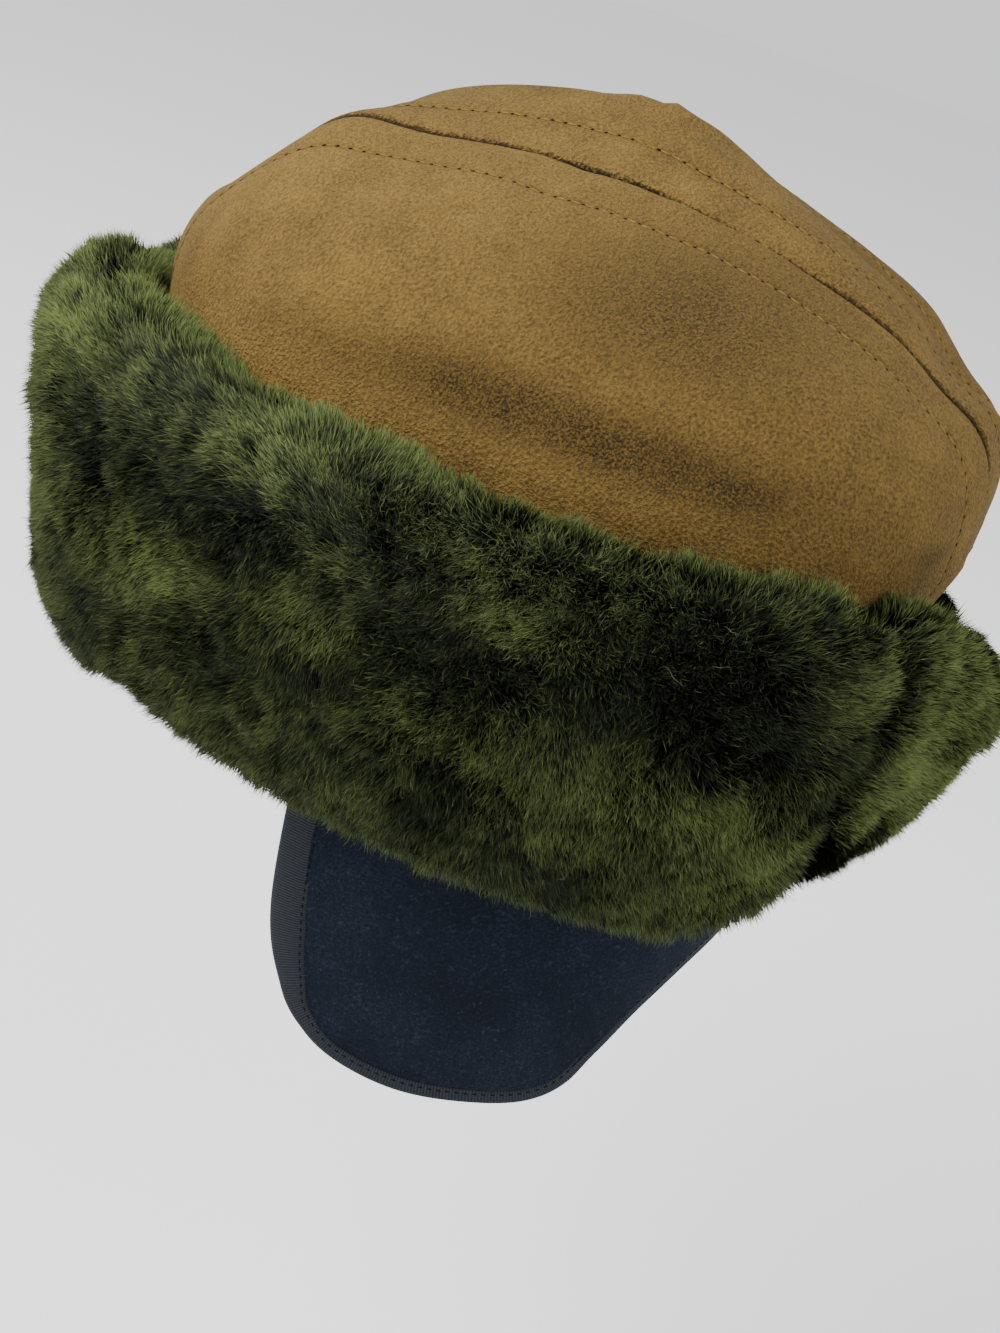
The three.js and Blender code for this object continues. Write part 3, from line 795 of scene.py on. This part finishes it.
def pile(name, from_run, to_run, count, seed):
    """A stretch of the pile, each fibre one slim triangle. Its root's direction carries it outward to
    where it begins to show, then it leans over and narrows to a point, and its tip comes as far out as
    the cuff's outline, give or take a little. The UV map holds the fibre's tone across and the way from
    its start to its tip upwards, and its normals lie between the pile's own and the fibre's."""
    draw = np.random.default_rng(seed)
    arc = draw.uniform(from_run, to_run, count)
    angle = np.interp(arc, ARC_RUN, ARC_ANGLE)
    phase = spread_phases(draw, count)
    root, top, outward, round_it, rise = pile_frame(angle, phase)
    lean_round, lean_up, tone, more = nap_field(angle, phase, arc)
    lean = round_it * lean_round[:, None] + rise * lean_up[:, None]
    first = unit(outward + FOLLOWS["start"] * lean + scatter(draw, round_it, rise, SCATTER["start"]))
    last = unit(outward + FOLLOWS["tip"] * lean + scatter(draw, round_it, rise, SCATTER["tip"]))
    depth = np.linalg.norm(top - root, axis=1) + more + draw.normal(*STANDS_OUT, count)
    depth = depth + np.minimum(tone, 0) - groove_at(angle, pile_outline(phase)[1])
    shows = draw.uniform(*FIBRE_SHOWS, count)
    inner = (depth - shows * (last * outward).sum(1)) / (first * outward).sum(1)
    start = root + first * inner[:, None]
    tip = start + last * shows[:, None]
    twist = draw.uniform(-0.9, 0.9, count)[:, None]
    wide = unit(np.cross(last, outward + round_it * 0.3 + rise * 0.05))
    wide = unit(wide * np.cos(twist) + np.cross(last, wide) * np.sin(twist))
    half = wide * (FIBRE_WIDTH / 2 * draw.uniform(0.7, 1.3, count))[:, None]
    corners = np.stack([start - half, start + half, tip], 1)
    piece = put_in(name, corners, np.arange(count * 3).reshape(-1, 3))
    shade = SHADE["middle"] + SHADE["tone"] * tone + draw.normal(0, SHADE["scatter"], count)
    # Pale fibres are painted glints on tips that catch the light.
    shade = np.clip(shade + SHADE["pale"] * (draw.random(count) < SHADE["glint_share"]), 0.01, 0.99)
    set_uv(piece, np.repeat(shade, 3), np.tile([0.01, 0.01, 0.99], count))
    flat_side = np.cross(wide, last)
    flat_side *= np.sign((flat_side * outward).sum(1, keepdims=True) + 1e-9)
    facing = unit(0.7 * outward + 0.45 * last + 0.40 * flat_side)
    piece.data.normals_split_custom_set_from_vertices(np.repeat(facing, 3, 0).tolist())
    return piece


# A stray hair: points along it, half its width, its shortest and longest, and how much it bends
STRAY = {"points": 9, "half": 0.035, "length": (2.5, 7), "bend": 1.9}


def stray_hairs(name, count, seed):
    """Pale single hairs that lie on the pile: narrow ribbons on an arc that bends a chance amount and
    waves a little to its side."""
    draw = np.random.default_rng(seed)
    angle = draw.uniform(0, 360, count)
    phase = draw.uniform(-0.8, 1.1, count)
    root, top, outward, round_it, rise = pile_frame(angle, phase)
    heading = draw.uniform(0, 2 * math.pi, count)[:, None]
    along = round_it * np.cos(heading) + rise * np.sin(heading)
    side = np.cross(outward, along)
    length = draw.uniform(*STRAY["length"], count)[:, None, None]
    bend = draw.normal(0, STRAY["bend"], count)[:, None, None]
    step = np.linspace(0, 1, STRAY["points"])[None, :, None]
    turn = bend * step
    forward = length * np.where(np.abs(bend) < 0.01, step, np.sin(turn) / bend)
    sideways = length * (1 - np.cos(turn)) / np.where(np.abs(bend) < 0.01, 1, bend)
    sideways = sideways + 0.25 * np.sin(step * 9 + heading[:, None])
    middle = (
        (top + outward * draw.uniform(0.0, 0.9, count)[:, None])[:, None]
        + along[:, None] * forward
        + side[:, None] * sideways
        + outward[:, None] * np.sin(step * math.pi) * draw.uniform(-0.4, 1.2, count)[:, None, None]
    )
    half = side[:, None] * STRAY["half"] * np.sin(0.3 + step * 2.6)
    points = np.stack([middle - half, middle + half], 2)
    at = (np.arange(count) * STRAY["points"] * 2)[:, None, None]
    quad = grid_faces(STRAY["points"], 2)[None]
    return put_in(name, points, (at + quad).reshape(-1, 4))


BASE_DEPTH = 4.2
BASE_ROWS = 34
BASE_AROUND = 220


def pile_base(name):
    """The dense under-pile that the fibres stand in: a closed ring that ends where they begin to show."""
    phase = np.linspace(PILE_FROM, PILE_TO, BASE_ROWS)[:, None]
    angle = np.linspace(0, 360, BASE_AROUND, endpoint=False)[None, :]
    angle, phase = np.broadcast_arrays(angle, phase)
    root, top, outward, _, _ = pile_frame(angle, phase)
    up = pile_outline(phase)[1]
    depth = np.linalg.norm(top - root, axis=-1) - BASE_DEPTH - groove_at(angle, up)
    outer = root + outward * np.maximum(depth, 0.5)[..., None]
    inner_up = np.array([0.85, 0.6, 0.35, 0.05])[:, None]
    inner_angle, inner_up = np.broadcast_arrays(angle[:1], inner_up)
    inner = cuff_point(inner_angle, 0 * inner_up, inner_up, 0 * inner_up + SKIN + CLEARANCE)
    points = np.concatenate([outer, inner])
    piece = put_in(name, points, grid_faces(len(points), BASE_AROUND, close_rows=True, close_columns=True))
    turn_outwards(piece)
    return piece


# The ear flap

def flap_point(angle, height, offset):
    """Points of the hanging flap at an angle and a height; offset is from the middle of its wall."""
    inward = SUEDE + CLEARANCE + WOOL / 2 - offset
    hang = FLAP_SLOPE * np.minimum(height, 0)
    front = np.cos(np.radians(angle)) > 0
    x, y = plan_at(angle, np.where(front, CORNER["front"], CORNER["rear"]))
    end = np.where(front, RIM["front"], RIM["rear"])
    return np.stack([x * (RIM["side"] - inward + hang), y * (end - inward + hang), height], -1)


def spline(points, samples):
    """A Catmull-Rom curve through points, resampled to equal steps."""
    padded = np.concatenate([2 * points[:1] - points[1:2], points, 2 * points[-1:] - points[-2:-1]])
    t = np.linspace(0, 1, 24, endpoint=False)[:, None]
    a, b, c, d = (padded[k:len(padded) - 3 + k][:, None] for k in range(4))
    fine = 0.5 * (2 * b + (c - a) * t + (2 * a - 5 * b + 4 * c - d) * t**2 + (3 * b - a - 3 * c + d) * t**3)
    fine = np.concatenate([fine.reshape(-1, 2), points[-1:]])
    return along_line(fine, np.linspace(0, run_along(fine)[-1], samples))


def flap_edge(samples, inward):
    """The flap's free edge in angle and height, moved inward by a distance, and its length."""
    left = np.stack([FLAP_EDGE[:, 0] * MM_PER_DEGREE, -FLAP_EDGE[:, 1]], -1)
    right = left[:-1][::-1] * [-1, 1] + [360 * MM_PER_DEGREE, 0]
    line, length = spline(np.concatenate([left, right]), samples)
    along = unit(np.gradient(line, axis=0))
    moved = line + np.stack([-along[:, 1], along[:, 0]], -1) * np.asarray(inward)[..., None]
    return moved[:, 0] / MM_PER_DEGREE, moved[:, 1], length


def binding_width(share):
    """The binding's width at a share of the edge: wide down the front of each lobe, narrow elsewhere."""
    from_front = np.minimum(share, 1 - share)
    narrowed = smooth_step((from_front - BINDING["from"]) / (BINDING["to"] - BINDING["from"]))
    return BINDING["front"] + (BINDING["rest"] - BINDING["front"]) * narrowed


FLAP_COLUMNS = 170
FLAP_ROWS = 32
TUCK = 2.2
WOOL_WAVE = {"round": 30, "up": 34, "rise": 0.45}


def ear_flap(name):
    """The flap's wool: rows from the sewn edge inside the crown down to the bound edge, on the wall that
    hangs inside the rim, in faint waves and tucked a little way into the binding."""
    share = np.linspace(0, 1, FLAP_COLUMNS)
    angle, height, _ = flap_edge(FLAP_COLUMNS, binding_width(share) - TUCK)
    first = FLAP_EDGE[0, 0] + (BINDING["front"] - TUCK) / MM_PER_DEGREE
    top_angle = np.linspace(first, 360 - first, FLAP_COLUMNS)
    down = np.linspace(0, 1, FLAP_ROWS)[:, None]
    angles = top_angle + (angle - top_angle) * down
    heights = FLAP_TOP + (np.minimum(height, -CLEARANCE) - FLAP_TOP) * down
    wave = smooth_noise(angles * MM_PER_DEGREE, heights, WOOL_WAVE["round"], WOOL_WAVE["up"], 61)
    wave = WOOL_WAVE["rise"] * wave * np.clip(-heights / 20, 0, 1)
    points = flap_point(angles, heights, wave)
    piece = put_in(name, points, grid_faces(FLAP_ROWS, FLAP_COLUMNS))
    tidy_mesh(piece, (0, 5, -40))
    wall = piece.modifiers.new("wall", "SOLIDIFY")
    wall.thickness = WOOL * MM
    wall.offset = 0
    return piece


BINDING_COLUMNS = 440
BINDING_AROUND = 18
SEWN = 1.3  # how far the stitches lie from the binding's inner edge
RIBBON_UV = 100
RIB_PITCH = 0.8
EDGE_STITCH = {"pitch": 2.4, "length": 1.3, "thick": 0.17, "out": 0.85}


def flap_binding(name):
    """The ribbon folded round the flap's free edge: a flat loop of a section carried along the edge, thick
    at the fold and pressed down where it is sewn."""
    turn = np.linspace(0, 2 * math.pi, BINDING_AROUND, endpoint=False)
    wide = np.sign(np.cos(turn)) * np.abs(np.cos(turn)) ** 0.45
    thick = np.sign(np.sin(turn)) * np.abs(np.sin(turn)) ** 0.6
    width = binding_width(np.linspace(0, 1, BINDING_COLUMNS))
    columns, inwards = [], []
    for k in range(BINDING_AROUND):
        inward = width / 2 * (1 - wide[k])
        press = 1 - 0.25 * bell(inward, width - SEWN, 0.6)
        angle, height, length = flap_edge(BINDING_COLUMNS, inward)
        below = np.minimum(height, 0) - CLEARANCE
        columns.append(flap_point(angle, below, RIBBON / 2 * thick[k] * press))
        inwards.append(inward)
    points = np.stack(columns, 0)
    start = np.arange(BINDING_AROUND) * BINDING_COLUMNS
    ends = np.stack([start[::-1], start + BINDING_COLUMNS - 1])
    piece = put_in(name, points, grid_faces(BINDING_AROUND, BINDING_COLUMNS, close_rows=True), ends)
    run = np.broadcast_to(np.linspace(0, length, BINDING_COLUMNS), points.shape[:2])
    set_uv(piece, run / RIBBON_UV, np.stack(inwards) / RIBBON_UV, name="ribbon")
    turn_outwards(piece)
    return piece


def binding_stitches(name):
    """The row of stitches that holds the binding, on both faces, near its inner edge."""
    middles, along, up = [], [], []
    samples = 3000
    sewn = binding_width(np.linspace(0, 1, samples)) - SEWN
    angle, height, length = flap_edge(samples, sewn)
    height = np.minimum(height, 0) - CLEARANCE
    out = RIBBON / 2 * EDGE_STITCH["out"]
    for face in (1, -1):
        line = flap_point(angle, height, face * out)
        inner = flap_point(angle, height, face * (out - 1))
        places = np.arange(3, length - 3, EDGE_STITCH["pitch"])
        at, _ = along_line(line, places)
        ahead, _ = along_line(line, places + 0.5)
        below, _ = along_line(line, places, inner)
        middles.append(at)
        along.append(unit(ahead - at))
        up.append(unit(at - below))
    laid = map(np.concatenate, (middles, along, up))
    return capsules(name, *laid, EDGE_STITCH["length"], EDGE_STITCH["thick"])


# Materials

def colour(red, green, blue):
    """A linear colour from the 0 to 255 values of a screen colour."""
    share = np.array([red, green, blue]) / 255
    linear = np.where(share <= 0.04045, share / 12.92, ((share + 0.055) / 1.055) ** 2.4)
    return (*linear.tolist(), 1.0)


WHITE = (1.0, 1.0, 1.0, 1.0)
BLACK = (0.0, 0.0, 0.0, 1.0)


class Steps:
    """The nodes of a material or of a node group, with a method for each step that builds them. A value
    given to a step is a number, a colour or the socket that another step gave."""

    def __init__(self, tree):
        self.tree = tree
        self.shader = tree.nodes.get("Principled BSDF")

    def node(self, kind, **settings):
        """A new shader node of a kind, with its settings."""
        made = self.tree.nodes.new("ShaderNode" + kind)
        for name, value in settings.items():
            setattr(made, name, value)
        return made

    def feed(self, socket, value):
        """Joins another step to a socket, or sets its plain value."""
        if isinstance(value, bpy.types.NodeSocket):
            self.tree.links.new(value, socket)
        else:
            socket.default_value = value

    def maths(self, work, *values):
        """One step of arithmetic."""
        made = self.node("Math", operation=work)
        for socket, value in zip(made.inputs, values):
            self.feed(socket, value)
        return made.outputs[0]

    def times(self, one, other, more=None):
        """One value times another, plus more where it is given."""
        if more is None:
            return self.maths("MULTIPLY", one, other)
        return self.maths("MULTIPLY_ADD", one, other, more)

    def blend(self, one, other, share):
        """Two values in proportion: one times the share and the other times the rest."""
        return self.times(one, share, self.times(other, 1 - share))

    def mix(self, share, one, other):
        """A mix of two colours: the first at a share of 0, the other at 1."""
        made = self.node("Mix", data_type="RGBA")
        for place, value in ((0, share), (6, one), (7, other)):
            self.feed(made.inputs[place], value)
        return made.outputs[2]

    def ramp(self, value, *stops):
        """A colour ramp with stops of (place, colour)."""
        made = self.node("ValToRGB")
        bands = made.color_ramp
        while len(bands.elements) < len(stops):
            bands.elements.new(0.5)
        for band, (place, shade) in zip(bands.elements, stops):
            band.position = place
            band.color = shade
        self.feed(made.inputs["Fac"], value)
        return made.outputs["Color"]

    def noise(self, place, size, detail):
        """Noise from 0 to 1 at a place, with features about size millimetres across."""
        made = self.node("TexNoise")
        made.inputs["Detail"].default_value = detail
        made.inputs["Roughness"].default_value = 0.6
        self.feed(made.inputs["Scale"], self.maths("DIVIDE", 1 / MM, size))
        self.feed(made.inputs["Vector"], place)
        return made.outputs["Fac"]

    def mask(self, name):
        """A mask kept on the piece's points."""
        return self.node("Attribute", attribute_name=name).outputs["Fac"]

    def uv(self, name):
        """The two values of a UV map."""
        made = self.node("SeparateXYZ")
        self.feed(made.inputs["Vector"], self.node("UVMap", uv_map=name).outputs["UV"])
        return made.outputs["X"], made.outputs["Y"]

    def near_line(self, distance, width):
        """1 on a line, falling to 0 at a width in millimetres to either side."""
        away = self.maths("ABSOLUTE", distance)
        return self.maths("MAXIMUM", self.times(away, -1 / width, 1), 0)

    def nap(self, broad, fine):
        """The nap group on the piece's own coordinates. Gives its mottle, grain and relief."""
        made = self.node("Group", node_tree=NAP)
        made.inputs["Broad"].default_value = broad
        made.inputs["Fine"].default_value = fine
        self.feed(made.inputs["Place"], self.node("TexCoord").outputs["Object"])
        return made.outputs["Mottle"], made.outputs["Grain"], made.outputs["Relief"]

    def base(self, shade):
        """The shader's base colour."""
        self.feed(self.shader.inputs["Base Color"], shade)

    def bump(self, height, distance, strength):
        """Bump of a height, whose unit is a distance in millimetres, on the shader's normal."""
        made = self.node("Bump")
        made.inputs["Distance"].default_value = distance * MM
        made.inputs["Strength"].default_value = strength
        self.feed(made.inputs["Height"], height)
        self.feed(self.shader.inputs["Normal"], made.outputs["Normal"])


def nap_group():
    """A shader node group for whatever is brushed, felted or spun. Mottle drifts over patches Broad
    millimetres across, Grain over specks Fine millimetres across, and Relief is the height of both."""
    group = bpy.data.node_groups.new("nap", "ShaderNodeTree")
    group.interface.new_socket("Place", in_out="INPUT", socket_type="NodeSocketVector")
    for name in ("Broad", "Fine"):
        group.interface.new_socket(name, in_out="INPUT", socket_type="NodeSocketFloat")
    for name in ("Mottle", "Grain", "Relief"):
        group.interface.new_socket(name, in_out="OUTPUT", socket_type="NodeSocketFloat")
    given = group.nodes.new("NodeGroupInput").outputs
    result = group.nodes.new("NodeGroupOutput").inputs
    step = Steps(group)
    mottle = step.noise(given["Place"], given["Broad"], 3)
    grain = step.noise(given["Place"], given["Fine"], 2)
    step.feed(result["Mottle"], mottle)
    step.feed(result["Grain"], grain)
    step.feed(result["Relief"], step.times(mottle, 1.2, grain))
    return group


NAP = nap_group()


def material(name, rough, specular, sheen=0.0, sheen_rough=0.5, sheen_tint=WHITE):
    """A material with one Principled shader, and the steps that build on it."""
    made = bpy.data.materials.new(name)
    made.use_nodes = True
    step = Steps(made.node_tree)
    step.shader.inputs["Roughness"].default_value = rough
    step.shader.inputs["Specular IOR Level"].default_value = specular
    step.shader.inputs["Sheen Weight"].default_value = sheen
    step.shader.inputs["Sheen Roughness"].default_value = sheen_rough
    step.shader.inputs["Sheen Tint"].default_value = sheen_tint
    return made, step


def suede_finish():
    """Brushed suede: a tan that drifts warmer and cooler, a mottled nap and a fine curled grain that
    catches the light. The grain is darker and stands up where the nap is darkened by rubbing and where
    crease shade is painted, a ragged line of painted shade lies in the seam's groove, and the topstitching
    is drawn in, with pressed nap and painted shade along it."""
    made, step = material("suede", 0.92, 0.15, sheen=0.08, sheen_tint=colour(214, 184, 120))
    mottle, grain, _ = step.nap(11, 0.8)
    drift, curl, _ = step.nap(55, 0.6)
    pale = step.times(step.mask("paler"), 0.07, step.blend(drift, mottle, 0.55))
    tan = step.ramp(pale, (0.36, colour(67, 51, 20)), (0.5, colour(87, 68, 30)), (0.64, colour(104, 82, 38)))
    fine = step.maths("SUBTRACT", grain, 0.5)
    grained = step.mix(step.times(fine, 2.8, 0.5), colour(48, 34, 9), colour(132, 106, 54))
    base = step.mix(0.40, tan, grained)
    # Painted shade in the creases, together with nap darkened by rubbing: the tan turns to a dark speckled
    # brown.
    patch = step.times(step.mask("rub_and_crease_shade"), step.times(mottle, 1.6, 0.25))
    speckled = step.ramp(curl, (0.42, colour(25, 16, 4)), (0.60, colour(84, 65, 27)))
    base = step.mix(step.times(patch, 0.85), base, speckled)
    # Pressed nap and painted shade along the drawn-in groove of the topstitching.
    drawn_in = step.near_line(step.mask("from_stitches"), 1.5)
    base = step.mix(step.times(drawn_in, 0.28), base, colour(50, 37, 13))
    # Painted shade in the seam's groove: a ragged dark line, darker where the seam lies deeper.
    ragged = step.times(fine, 3.0, step.mask("from_seam"))
    seam = step.ramp(step.times(ragged, 0.25), (0.14, WHITE), (0.40, BLACK))
    seam = step.times(seam, step.times(step.mask("seam_depth"), 0.5, 0.5))
    step.base(step.mix(seam, base, colour(20, 13, 4)))
    height = step.times(mottle, 0.8, step.times(grain, 2.0))
    height = step.times(curl, step.times(patch, 1.4, 0.5), height)
    step.bump(step.times(drawn_in, -0.7, height), 0.6, 1.0)
    return made


def thread_finish(name, shade):
    """Spun thread, pale hairs, a plain brushed skin and the dark painted shade in the needle holes: one shade
    that goes lighter and darker in fine specks.
    """
    made, step = material(name, 0.8, 0.05)
    mottle, grain, relief = step.nap(4, 0.5)
    darker = tuple(part * 0.6 for part in shade[:3]) + (1.0,)
    step.base(step.ramp(step.blend(mottle, grain, 0.4), (0.35, darker), (0.65, shade)))
    step.bump(relief, 0.15, 0.5)
    return made


def pile_finish():
    """Pile: each fibre is near black at its start, partly its darker dyed root and partly painted shade deep
    in the pile, and olive towards its tip, lighter or darker with its tone, which is partly chance and partly
    painted light and shade. The UV map holds the fibre's tone across and the way to its tip upwards."""
    made, step = material("pile", 0.65, 0.07)
    tone, way = step.uv("OFBake")
    dark = step.ramp(way, (0.0, colour(3, 4, 2)), (0.35, colour(6, 8, 5)), (1.0, colour(25, 30, 19)))
    light = step.ramp(way, (0.0, colour(8, 10, 4)), (0.35, colour(40, 50, 20)), (1.0, colour(112, 123, 68)))
    step.base(step.mix(tone, dark, light))
    return made


def under_pile_finish():
    """The deep shade between the fibres: near black green, in uneven clumps."""
    made, step = material("under_pile", 0.95, 0.05)
    clump, _, relief = step.nap(4, 0.8)
    step.base(step.ramp(clump, (0.3, colour(5, 6, 4)), (0.7, colour(18, 22, 12))))
    step.bump(relief, 1.2, 0.8)
    return made


def wool_finish():
    """Felted navy wool: a soft mottle, fibres that lie every way, and a scatter of paler fuzz."""
    made, step = material("wool", 0.95, 0.10, sheen=0.12, sheen_rough=0.4, sheen_tint=colour(70, 92, 112))
    mottle, fibre, relief = step.nap(24, 0.7)
    gather, fuzz, _ = step.nap(9, 1.1)
    navy = step.ramp(step.blend(mottle, fibre, 0.35),
                     (0.38, colour(6, 10, 18)), (0.55, colour(11, 17, 27)), (0.70, colour(22, 31, 42)))
    specks = step.ramp(step.blend(fuzz, gather, 0.8), (0.56, BLACK), (0.70, WHITE))
    step.base(step.mix(step.times(specks, 0.20), navy, colour(54, 67, 77)))
    step.bump(relief, 0.3, 0.8)
    return made


def ribbon_finish():
    """Ribbed ribbon: fine ribs across its width, a blue black, with a dull sheen."""
    made, step = material("ribbon", 0.7, 0.12, sheen=0.02)
    ribs = step.maths("SINE", step.times(step.uv("ribbon")[0], 2 * math.pi * RIBBON_UV / RIB_PITCH))
    ribs = step.times(ribs, 0.5, 0.5)
    fibre = step.nap(10, 0.7)[1]
    step.base(step.ramp(step.blend(ribs, fibre, 0.45), (0.3, colour(11, 14, 18)), (0.7, colour(28, 34, 41))))
    step.bump(step.maths("ADD", ribs, fibre), 0.16, 0.7)
    return made


def floor_finish():
    """A plain matt pale floor."""
    made, step = material("pale_floor", 0.9, 0.1)
    step.base((0.93, 0.93, 0.93, 1))
    return made


def dress(piece, finish, slot, *nodes):
    """Gives a piece its finish, makes it ride on the frame and stand for its nodes. The slot is not used."""
    piece.data.materials.append(finish)
    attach(piece, "root")
    if nodes:
        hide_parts(*nodes)
    return piece


# Camera, floor and lights

CAMERA = {"azimuth": 103.281, "elevation": 25.0, "roll": 17.281, "distance": 560.75}
FOCAL_PIXELS = 2010.665
AIM = (2.042, -9.247)
IMAGE_HEIGHT = 1333
SENSOR = 36.0


def camera_axes():
    """The camera's right, up and back directions: an azimuth and an elevation, then a roll."""
    a, e, r = (math.radians(CAMERA[key]) for key in ("azimuth", "elevation", "roll"))
    back = Vector((math.sin(a) * math.cos(e), -math.cos(a) * math.cos(e), math.sin(e)))
    right = Vector((math.cos(a), math.sin(a), 0))
    up = back.cross(right)
    return (
        right * math.cos(r) + up * math.sin(r),
        up * math.cos(r) - right * math.sin(r),
        back,
    )


def add_camera():
    """The camera that sees the cap as the photo does."""
    right, up, back = camera_axes()
    place = right * AIM[0] + up * AIM[1] + back * CAMERA["distance"]
    data = bpy.data.cameras.new("camera")
    data.sensor_width = SENSOR
    data.sensor_fit = "AUTO"
    data.lens = FOCAL_PIXELS / IMAGE_HEIGHT * SENSOR
    data.clip_start, data.clip_end = 0.01, 50
    camera = bpy.data.objects.new("camera", data)
    turn = Matrix((right, up, back)).transposed()
    camera.matrix_world = Matrix.Translation(place * MM) @ turn.to_4x4()
    bpy.context.scene.collection.objects.link(camera)
    bpy.context.scene.camera = camera


# Lights: name, direction from the cap along the camera's back, up and right, distance, size, power
LIGHTS = [
    ("key", 0.72, 0.85, -0.75, 1.5, 1.1, 50),
    ("fill", 0.9, 0.05, 0.95, 1.6, 1.4, 22),
]


def add_light(name, toward, distance, size, power):
    """A square soft light that lies in a direction from the cap and faces it."""
    data = bpy.data.lights.new(name, "AREA")
    data.size = size
    data.energy = power
    lamp = bpy.data.objects.new(name, data)
    direction = Vector(toward).normalized()
    lamp.location = direction * distance + Vector((0, 0, 0.04))
    lamp.rotation_euler = direction.to_track_quat("Z", "Y").to_euler()
    bpy.context.scene.collection.objects.link(lamp)


FLOOR_HEIGHT = -300.0
FLOOR_REACH = 4000.0


def add_floor():
    """A square pale floor well below the cap."""
    turns = ((-1, -1), (1, -1), (1, 1), (-1, 1))
    corners = [(x * FLOOR_REACH, y * FLOOR_REACH, FLOOR_HEIGHT) for x, y in turns]
    floor = put_in("floor", corners, [(0, 1, 2, 3)])
    floor.data.materials.append(floor_finish())


def add_world():
    """Even white light from all round."""
    world = bpy.data.worlds.new("studio")
    world.use_nodes = True
    sky = world.node_tree.nodes["Background"]
    sky.inputs["Color"].default_value = (1, 1, 1, 1)
    sky.inputs["Strength"].default_value = 1.0
    bpy.context.scene.world = world


# The cap

add_camera()
add_floor()
add_world()
right, up, back = camera_axes()
for name, to_back, to_up, to_right, distance, size, power in LIGHTS:
    add_light(name, back * to_back + up * to_up + right * to_right, distance, size, power)

suede = suede_finish()
left_side = side_panel("suede_side_left", 1)
right_side = side_panel("suede_side_right", -1)
strip = centre_strip("suede_strip")
dress(left_side, suede, "suede", "crown_side_left")
dress(right_side, suede, "suede", "crown_side_right")
dress(strip, suede, "suede", "crown_strip")

rows = [
    (left_side, 1, SIDE_MARGIN),
    (strip, 1, -STRIP_MARGIN),
    (right_side, -1, SIDE_MARGIN),
    (strip, -1, -STRIP_MARGIN),
]
tan_thread = thread_finish("tan_thread", colour(122, 99, 49))
# Dark capsules sunk at the needle holes stand for the painted shade in the holes.
hole_shade = thread_finish("needle_hole_shade", colour(30, 20, 7))
dress(stitch_rows("topstitches", rows, TOPSTITCH), tan_thread, "suede")
dress(stitch_rows("needle_hole_shade", rows, NEEDLE_HOLE_SHADE, STITCH_PITCH / 2), hole_shade, "suede")

skin = thread_finish("skin", colour(120, 96, 62))
dress(cuff_band("skin_band"), skin, "skin", "cuff_band")
dress(pile_base("under_pile"), under_pile_finish(), "pile", "fur_cuff")
fur = pile_finish()
for k in range(STRETCHES):
    piece = pile(f"pile_{k + 1}", ROUND * k / STRETCHES, ROUND * (k + 1) / STRETCHES, FIBRES, 100 + k)
    dress(piece, fur, "pile", "fur_cuff")
pale_hair = thread_finish("pale_hair", colour(104, 105, 80))
dress(stray_hairs("stray_hairs", 300, 5), pale_hair, "pile", "fur_cuff")

wool = dress(ear_flap("wool_flap"), wool_finish(), "wool", "ear_flap")
binding = dress(flap_binding("ribbon_binding"), ribbon_finish(), "ribbon", "flap_binding")
black_thread = thread_finish("black_thread", colour(8, 9, 12))
sewing = dress(binding_stitches("binding_stitches"), black_thread, "ribbon")
